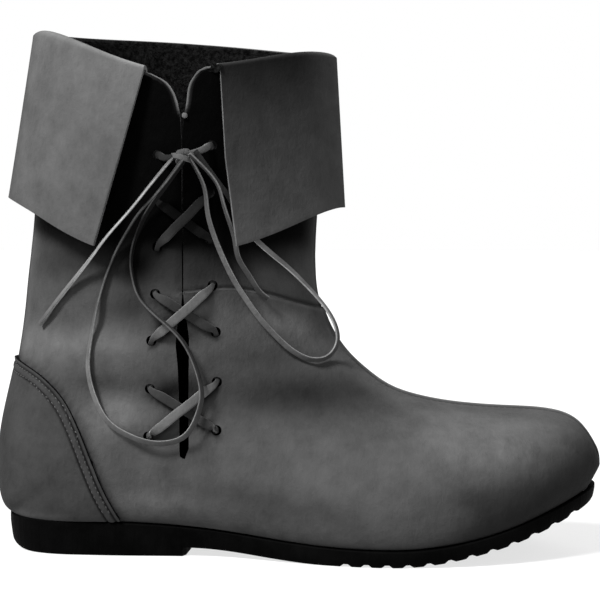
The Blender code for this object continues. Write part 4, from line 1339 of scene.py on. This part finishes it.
def punch_tool():
    """Round punches square to the wall at every lace hole."""
    bm = bmesh.new()
    radius = EYELET_RADIUS * MM
    size = {"segments": PUNCH_SEGMENTS, "radius1": radius, "radius2": radius, "depth": PUNCH_DEPTH * MM}
    for x, z in np.asarray(EYELETS).reshape(-1, 2):
        spot, normal = wall_at(x, z)
        turn = Vector((0.0, 0.0, 1.0)).rotation_difference(Vector(normal)).to_matrix().to_4x4()
        place = Matrix.Translation(Vector(spot) * MM) @ turn
        bmesh.ops.create_cone(bm, cap_ends=True, matrix=place, **size)
    for face in bm.faces:
        face.material_index = 1
    obj = new_object("punch_tool", np.zeros((0, 3)), (), (NUBUCK, FLESH, EDGE))
    bm.to_mesh(obj.data)
    bm.free()
    obj.hide_render = True
    obj.hide_set(True)
    return obj


def cuff_row(top, out, flare, lift, sharpness, gap, rim_gap):
    """One row of the cuff: the rim's section grown outwards, at a height above the rim's own line."""
    row = dict(top)
    row["base_x"] -= out + sharpness * CUFF_ENDS_OUT + flare * CUFF_FLARE_BACK
    row["crest_x"] += out + sharpness * CUFF_ENDS_OUT + flare * CUFF_FLARE_FRONT
    row["outer_reach"] += out + flare * CUFF_FLARE_SIDE
    row["inner_reach"] += out + flare * CUFF_FLARE_SIDE
    row["top_round"] += sharpness * (CUFF_TOP_ROUND - row["top_round"])
    points = place_columns(row, *gap)
    rim = place_columns(top, *rim_gap)
    shift = rim_shift(rim)
    x = rim[:, 0]
    drop = np.where(x < SLIT_X, CUFF_END_DROP / DIP, CUFF_END_DROP_FRONT / DIP_FRONT)
    lower = CUFF_HEM_LOWER * rise(x, *CUFF_HEM_LOWER_X)
    lower += CUFF_HEM_LOWER_BACK * rise(x, *CUFF_HEM_LOWER_BACK_X)
    lower -= CUFF_HEM_RAISE_FRONT * np.interp(x, CUFF_HEM_RAISE_X, (0.0, 1.0)) ** 2
    points[:, 2] = rim[:, 2] + shift + RIM_GAP + lift + flare * (drop * np.minimum(shift, 0.0) - lower)
    return points


def cuff_piece():
    """Turned-down collar: rolled over the rim, then a flared band with its ends clear of the slit."""
    top = section_at(len(SECTIONS) - 1)
    ends = np.asarray(CUFF_ENDS, float)
    start = np.asarray(SLIT, float)[-1, 1:]
    roll = ROLL_INNER + WALL
    rows = [cuff_row(top, -WALL, 0.0, 0.0, 0.0, start, start)]
    for share in np.linspace(0.0, 1.0, CUFF_ROLL_ROWS + 1):
        turn = math.pi * share
        gap = start + (ends[0, 1:] - start) * ease(share)
        out = roll * (1.0 - math.cos(turn)) - WALL
        lift = ROLL_RISE + roll * math.sin(turn)
        rows.append(cuff_row(top, out, 0.0, lift, share, gap, gap))
    for share in np.linspace(0.0, 1.0, CUFF_BAND_ROWS + 1)[1:]:
        gap = read(share, ends[:, 0], ends[:, 1:])
        lift = ROLL_RISE - share * (CUFF_DROP - roll)
        rows.append(cuff_row(top, 2.0 * roll - WALL, share, lift, 1.0, gap, ends[0, 1:]))
    rows = np.asarray(rows)
    columns = rows.shape[1]
    index = np.arange(len(rows) * columns).reshape(-1, columns)
    index[:, -1] = index[:, 0]
    points, quads, band, _ = slit_mesh(rows, index)
    quads = turned_over(quads)
    past_roll = band - CUFF_ROLL_ROWS - 1
    points = relax(points, quads, CUFF_SMOOTHING, border(quads, len(points)) | (past_roll <= 0))
    normals = vertex_normals(points, quads)
    hang = np.clip(past_roll / CUFF_BAND_ROWS, 0.0, 1.0)
    x, y, _ = points.T
    wave = sum(share * np.sin(x / long + y / wide + phase) for share, long, wide, phase in CUFF_WAVES)
    points = points + (CUFF_WAVE * hang * wave)[:, None] * normals
    lined = np.repeat(np.arange(len(rows) - 1) <= CUFF_LINED_ROWS, columns - 2)
    obj = new_object("cuff_leather", points, quads, (NUBUCK, FLESH, FLESH, EDGE), lined)
    set_tone(obj, cuff_tone(x, y, hang, past_roll))
    thicken(obj, WALL, 3, even=True)
    round_edges(obj, *CUFF_EDGE_ROUND)
    apply_modifiers(obj, CUT_EDGE_ANGLE)
    hand_over(obj, "black_leather", "cuff")


def heel_spot(station, z):
    """Spot and normal on the heel's outer face: by x along the sides, by angle round the back."""
    kind, value = station
    if kind == "back":
        away = Vector((-math.cos(value), -math.sin(value), 0.0))
        return hit(Vector((COUNTER_AXIS_X, 0.0, z)) + CAST_FROM * away, -away)
    side = -1.0 if kind == "outer" else 1.0
    return hit((value, side * CAST_FROM, z), (0.0, -side, 0.0))


def counter_edge(samples):
    """Points along the counter's edge in the side view."""
    return smooth(COUNTER_EDGE, np.linspace(0, len(COUNTER_EDGE) - 1, samples))


def counter_stations():
    """Stations from the outer front corner round the back to the inner front corner."""
    edge = counter_edge(COUNTER_FRONT_SAMPLES)
    front = np.interp(-(COUNTER_FLOOR + COUNTER_FRONT_LIFT), -edge[:, 1], edge[:, 0])
    sides = np.linspace(front, COUNTER_AXIS_X, COUNTER_SIDE_STATIONS)[:-1]
    angles = np.linspace(math.pi / 2.0, -math.pi / 2.0, COUNTER_BACK_STATIONS)
    stations = [("outer", x) for x in sides]
    stations += [("back", angle) for angle in angles]
    return stations + [("inner", x) for x in sides[::-1]]


def counter_piece():
    """Heel overlay with two stitch grooves: the piece, the line of its edge and the normals there."""
    edge = counter_edge(COUNTER_EDGE_SAMPLES)
    stations = counter_stations()
    inner = np.zeros((len(stations), COUNTER_ROWS, 3))
    normals = np.zeros_like(inner)
    for i, station in enumerate(stations):
        top = COUNTER_EDGE[0][1]
        for _ in range(COUNTER_FIT_ROUNDS):
            spot, _ = heel_spot(station, top)
            top = (top + np.interp(spot[0], *edge.T)) / 2.0
        for j, z in enumerate(np.linspace(COUNTER_FLOOR, top, COUNTER_ROWS)):
            inner[i, j], normals[i, j] = heel_spot(station, z)
    quads = turned_over(grid_quads(np.arange(inner.size // 3).reshape(inner.shape[:2])))
    points = inner.reshape(-1, 3)
    normal = vertex_normals(points, quads)
    if np.sum(normal * normals.reshape(-1, 3)) < 0.0:
        quads = quads[:, ::-1]
        normal = -normal
    from_edge = distance_to(inner[:, -1], points)
    groove = sum(bump(from_edge, row, COUNTER_GROOVE_WIDTH) for row in COUNTER_STITCH_ROWS)
    relief = hills(from_edge, COUNTER_WELT) - COUNTER_GROOVE_DEPTH * groove
    points = points + (COUNTER_GAP + COUNTER_THICKNESS + relief)[:, None] * normal
    obj = new_object("counter_leather", points, quads, (NUBUCK, FLESH))
    # Painted shade darkens the stitch grooves
    set_tone(obj, counter_tone(points[:, 0], points[:, 2]) * (1.0 - COUNTER_GROOVE_DARK * groove))
    thicken(obj, COUNTER_THICKNESS, 1)
    round_edges(obj, *COUNTER_EDGE_ROUND)
    apply_modifiers(obj, CUT_EDGE_ANGLE)
    hand_over(obj, "black_leather", "counter")
    line = inner[:, -1] + (COUNTER_GAP + COUNTER_THICKNESS) * normals[:, -1]
    return obj, line, normals[:, -1]


# Stitches


def stitches(name, line, normals, pitch, length, radius):
    """A row of separate stitches along a line on a surface, in one mesh."""
    distance = travelled(line)
    points = []
    faces = []
    for middle in np.arange(pitch, distance[-1] - pitch / 2.0, pitch):
        centre = read(middle, distance, line)
        out = unit(read(middle, distance, normals))
        ahead = read(middle + STITCH_LOOK_AHEAD, distance, line) - centre
        ahead = unit(ahead - out * np.dot(out, ahead))
        side = np.cross(out, ahead)
        faces += tube_faces(len(STITCH_RINGS), STITCH_AROUND, len(points))
        for place, swell in STITCH_RINGS:
            dip = radius * (STITCH_SINK + STITCH_DIVE * abs(place) ** 3)
            ring = centre + ahead * place * length / 2.0 - out * dip
            for turn in np.arange(STITCH_AROUND) * 2.0 * math.pi / STITCH_AROUND:
                points.append(ring + radius * swell * (math.cos(turn) * side + math.sin(turn) * out))
    hand_over(new_object(name, points, faces, (THREAD,)), "thong_leather")


def inset_line(line, normals, inset):
    """The line moved along the surface, to its left when seen from outside."""
    ahead = unit(np.gradient(line, axis=0))
    return line - inset * unit(np.cross(ahead, normals))


def counter_stitches(counter, line, normals):
    """A row of stitches in each of the counter's two grooves."""
    tree = search_tree(places(counter), [p.vertices for p in counter.data.polygons])
    for number, inset in enumerate(COUNTER_STITCH_ROWS, start=1):
        lifted = inset_line(line, normals, inset) + COUNTER_STITCH_LIFT * normals
        spots, outward = seat_line(tree, lifted, normals)
        keep = spots[:, 2] > COUNTER_FLOOR + COUNTER_STITCH_FROM
        stitches(f"counter_stitches_{number}", spots[keep], outward[keep], *COUNTER_STITCH)


def vamp_stitches():
    """Stitch rows either side of the raised front seam, from the instep to the toe."""
    positions = np.linspace(*VAMP_STITCH_SECTIONS, VAMP_STITCH_SAMPLES)
    line = np.asarray([upper_row(position, False)[0][CREST] for position in positions])
    beside, above = VAMP_STITCH_OFFSET
    for name, side in (("vamp_stitches_outer", -1.0), ("vamp_stitches_inner", 1.0)):
        moved = line + (0.0, side * beside, above)
        spots, normals = seat_line(CLOSED_TREE, moved, moved - VAMP_CORE)
        stitches(name, spots, normals, *VAMP_STITCH)


# Sole


def sole_piece():
    """Moulded sole with rounded edges, arched waist, heel and cross lugs."""
    turn = np.linspace(0.0, math.pi, SOLE_STATIONS)
    plain = SOLE_BACK + (SOLE_TIP - SOLE_BACK) * (1.0 - np.cos(turn)) / 2.0
    stations = [(x, 0.0) for x in plain if x < LUG_FROM or x > LUG_TO]
    stations += [(HEEL_BREAST - HEEL_STEP, 0.0), (HEEL_BREAST, 0.0), (LUG_FROM, 0.0)]
    for lug in np.arange(LUG_FROM, LUG_TO - LUG_PITCH, LUG_PITCH):
        for inward, depth in LUG_SIDE:
            stations += [(lug + LUG_LENGTH + inward, depth), (lug + LUG_PITCH - inward, depth)]
    station, groove = np.asarray(sorted(stations)).T
    share = (station - SOLE_BACK) / (SOLE_TIP - SOLE_BACK)
    bottom = sole_bottom(station) + groove
    columns = []
    for side, profile in ((-1.0, SOLE_SIDE), (1.0, SOLE_SIDE[::-1])):
        for inset, down, drop in profile:
            back = SOLE_BACK + inset
            tip = SOLE_TIP - inset
            x = back + share * (tip - back)
            centre, half = plan(x, -inset, back, tip)
            top = sole_top(x)
            columns.append(np.stack((x, centre + side * half, top + down * (bottom - top) - drop), axis=1))
    rings = np.stack(columns, axis=1)
    obj = new_object("sole_rubber", rings.reshape(-1, 3), tube_faces(*rings.shape[:2]), (RUBBER,))
    bm = bmesh.new()
    bm.from_mesh(obj.data)
    bmesh.ops.remove_doubles(bm, verts=bm.verts, dist=SOLE_WELD * MM)
    bmesh.ops.recalc_face_normals(bm, faces=bm.faces)
    bm.to_mesh(obj.data)
    bm.free()
    obj.data.shade_smooth()
    obj.data.set_sharp_from_angle(angle=math.radians(SOLE_SHARP))
    hand_over(obj, "black_rubber", "outsole")


# Thong


def ribbon(name, line, across, widths, thicknesses, levels):
    """Flat thong swept along a line: across is its width's direction, levels are its shades."""
    turn = np.arange(RIBBON_AROUND) * 2.0 * math.pi / RIBBON_AROUND
    circle = np.stack((np.cos(turn), np.sin(turn)))
    wide, thick = np.abs(circle) ** RIBBON_SQUARENESS * np.sign(circle)
    ahead = unit(np.gradient(line, axis=0))
    side = unit(across - ahead * np.sum(across * ahead, axis=1, keepdims=True))
    face = np.cross(ahead, side)
    count = len(line)
    out = np.multiply.outer(np.broadcast_to(widths, count) / 2.0, wide)
    up = np.multiply.outer(np.broadcast_to(thicknesses, count) / 2.0, thick)
    points = line[:, None] + out[:, :, None] * side[:, None] + up[:, :, None] * face[:, None]
    on_edge = np.abs(wide) + np.abs(np.roll(wide, -1)) > RIBBON_EDGE_FROM
    kinds = np.concatenate((np.tile(on_edge, count - 1), (True, True)))
    faces = tube_faces(count, RIBBON_AROUND)
    obj = new_object(name, points.reshape(-1, 3), faces, (THONG, THONG_EDGE), kinds)
    obj.data.set_sharp_from_angle(angle=math.radians(RIBBON_SHARP))
    set_tone(obj, np.repeat(np.broadcast_to(levels, count), RIBBON_AROUND))
    hand_over(obj, "thong_leather")
    return obj


def fine_steps(route):
    """Positions along a route, close together."""
    last = len(route) - 1
    return np.linspace(0.0, last, last * ROUTE_STEPS + 1)


def lace_stop(x, z, depth):
    """Point at a depth below the outer face (negative is above it), and the wall's normal."""
    spot, normal = wall_at(x, z)
    return spot - depth * normal, normal


def lace_shade(z):
    """Painted shade of the lace at a height: darker up in the V."""
    return 1.0 - LACE_DARK * float(rise(z, *LACE_DARK_Z))


def strand(holes, over):
    """Route of half the lace through its holes: point, direction across, size and shade of each stop."""
    route = []
    previous = np.add(EYELETS[0][:2], EYELETS[0][2:]) / 2.0
    for step, hole in enumerate(holes):
        outside = step % 2 == 1
        way = np.subtract(hole, previous)
        run = unit(np.array((way[0], 0.0, way[1])))
        for share in OUTSIDE_SHARES if outside else INSIDE_SHARES:
            x, z = previous + share * way
            depth = WALL + THONG_INSIDE
            size = SIZE_INSIDE
            level = LEVEL_INSIDE
            if outside:
                hump = THONG_THICKNESS + THONG_OVER_CLEAR if over else THONG_UNDER_RISE
                depth = -(THONG_CLEAR + THONG_THICKNESS / 2.0 + hump * math.sin(math.pi * share) ** 2)
                size = SIZE_OUTSIDE
                level = LEVEL_OVER if over else LEVEL_UNDER
            point, normal = lace_stop(x, z, depth)
            route.append((point, np.cross(normal, run), size, level * lace_shade(z)))
        if outside:
            over = not over
        point, normal = lace_stop(*hole, WALL / 2.0)
        route.append((point, np.cross(normal, run), SIZE_IN_HOLE, LEVEL_IN_HOLE * lace_shade(hole[1])))
        previous = hole
    return route


def finish_strand(name, route):
    """Sweeps a strand's route."""
    line, across, size, level = (np.asarray(part) for part in zip(*route))
    place = np.arange(len(line))
    at = fine_steps(line)
    size = np.interp(at, place, size)
    thick = THONG_THICKNESS * (1.0 + PINCH_THICKENS * (1.0 - size))
    level = np.interp(at, place, level)
    return ribbon(name, smooth(line, at), read(at, place, across), THONG_WIDTH * size, thick, level)


def lacing():
    """Both halves of the lace, from the bottom bar inside to the knot."""
    back = [row[:2] for row in EYELETS]
    front = [row[2:] for row in EYELETS]
    first = [back[0], front[1], front[2], back[3], back[4], front[5], front[6]]
    second = [front[0], back[1], back[2], front[3], front[4], back[5], back[6]]
    knot = np.asarray(LACE_KNOT)
    for name, holes, over, end, side, shade in (
        ("lace_strand_first", first, True, knot[2], 1.0, 0.95),
        ("lace_strand_second", second, False, knot[0], -1.0, 0.22),
    ):
        route = strand(holes, over)
        x, z = holes[-1]
        point, normal = lace_stop(x - LAST_BESIDE * side, z - LAST_BELOW, -LAST_LIFT)
        across = np.cross(normal, unit(end - point))
        route[-1] = (route[-1][0], across, SIZE_IN_HOLE, LAST_HOLE_DARK * shade)
        halfway = (point + end) / 2.0 + LAST_RISES[0] * normal
        last = LAST_TO_END * end + (1.0 - LAST_TO_END) * knot[1] + LAST_RISES[1] * normal
        route += [(spot, across, size, shade) for spot, size in zip((point, halfway, last), LAST_SIZES)]
        finish_strand(name, route)
    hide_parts("lace_cross_1", "lace_cross_2", "lace_cross_3")


def bow_cord(name, route, shades, far_end, twist, tucked):
    """One loop or end of the bow as a flat thong that turns along its way, its ends tucked in the knot."""
    route = np.asarray(route, float)
    for end, beside, deep in ((0, 1, tucked[0]), (-1, -2, tucked[1])):
        route[end] += deep * unit(route[end] - route[beside])
    line = smooth(route, fine_steps(route))
    ahead = unit(np.gradient(line, axis=0))
    across = unit(np.cross((0.0, -1.0, 0.0), ahead))
    face = np.cross(ahead, across)
    share = np.linspace(0.0, 1.0, len(line))
    middle, swing, waves, phase = twist
    turn = np.radians(middle + swing * np.sin(2.0 * math.pi * waves * share + phase))[:, None]
    across = across * np.cos(turn) + face * np.sin(turn)
    levels = np.interp(share, *np.asarray(shades).T)
    obj = ribbon("bow_" + name, line, across, CORD_WIDTH, CORD_THICKNESS, levels)
    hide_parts("lace_" + name)


def knot_piece():
    """The bow's knot: thongs wrapped round the meeting strands, with one tucked across the front."""
    start, middle, end = np.asarray(LACE_KNOT)
    axis = unit(end - start)
    out = np.array((0.0, -1.0, 0.0))
    out = unit(out - axis * np.dot(out, axis))
    up = np.cross(out, axis)
    share = np.linspace(0.0, 1.0, KNOT_WRAP_SAMPLES)
    for number, (shift, slant, size, phase, turns) in enumerate(KNOT_WRAPS, start=1):
        turn = phase + 2.0 * math.pi * turns * share
        place = shift + slant * np.sin(turn) + KNOT_WRAP_DRIFT * (share - 0.5)
        radius = size + KNOT_WRAP_DENT * np.sin(KNOT_WRAP_DENTS * turn)
        line = middle + np.outer(place, axis)
        line += np.outer(radius * np.cos(turn), out) + np.outer(radius * np.sin(turn), up)
        ribbon(f"lace_knot_wrap_{number}", line, axis, *KNOT_WRAP_SIZE)
    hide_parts("lace_knot")
    line = middle + smooth(KNOT_OVER, fine_steps(KNOT_OVER)) @ np.stack((axis, out, up))
    ribbon("lace_knot_over", line, KNOT_OVER_SLANT * axis + up, *KNOT_OVER_SIZE)


def slit_tack():
    """Short tack of thong that holds the slit together where its edges part."""
    spot, normal = wall_at(*TACK_PLACE)
    along_slit = np.array((0.0, 0.0, 1.0))
    share = np.linspace(-1.0, 1.0, TACK_SAMPLES)
    line = spot + TACK_LIFT * normal + np.outer(share * TACK_SIZE / 2.0, np.cross(normal, along_slit))
    bulge = np.sqrt(1.0 - TACK_ROUND * share**2)
    ribbon("slit_tack", line, along_slit, TACK_SIZE * bulge, TACK_THICKNESS * bulge, TACK_LEVEL)


# Studio


def stage():
    """Pale floor, soft lights, world and camera."""
    scene = bpy.context.scene
    corners = np.array(((-1, -1, 0), (1, -1, 0), (1, 1, 0), (-1, 1, 0))) * FLOOR_REACH
    new_object("floor", corners, [(0, 1, 2, 3)], (FLOOR,))
    scene.world = scene.world or bpy.data.worlds.new("studio")
    scene.world.use_nodes = True
    nodes = Nodes(scene.world.node_tree)
    seen = nodes.add("LightPath").outputs["Is Camera Ray"]
    sky = {"Color": grey(1.0), "Strength": nodes.spread(seen, 0.0, 1.0, SKY_LIGHT, 1.0)}
    nodes.feed(nodes.tree.nodes["Background"], sky)
    for name, toward, spread, strength in LIGHTS:
        data = bpy.data.lights.new(name, "SUN")
        data.energy = strength
        data.angle = math.radians(spread)
        light = add_to_scene(name, data)
        light.location = Vector(toward) * LIGHT_AWAY * MM
        light.rotation_euler = (-Vector(toward)).to_track_quat("-Z", "Y").to_euler()
    scene.view_settings.view_transform = "Standard"
    data = bpy.data.cameras.new("camera")
    data.lens = CAMERA_LENS
    data.sensor_width = CAMERA_SENSOR
    data.clip_start = CAMERA_NEAR * MM
    scene.camera = add_to_scene("camera", data)
    scene.camera.location = Vector(CAMERA_PLACE) * MM
    scene.camera.rotation_euler = (math.radians(90.0 - CAMERA_DOWN), 0.0, math.radians(CAMERA_TURN))


stage()
CLOSED_TREE = search_tree(*shaped_leather(False))
for cord in BOW:
    bow_cord(*cord)
knot_piece()
slit_tack()
lacing()
counter, counter_rim, rim_normals = counter_piece()
counter_stitches(counter, counter_rim, rim_normals)
upper_piece(counter_rim)
cuff_piece()
vamp_stitches()
sole_piece()

inner_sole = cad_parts["insole"]
inner_sole.data.materials.clear()
inner_sole.data.materials.append(INSOLE)
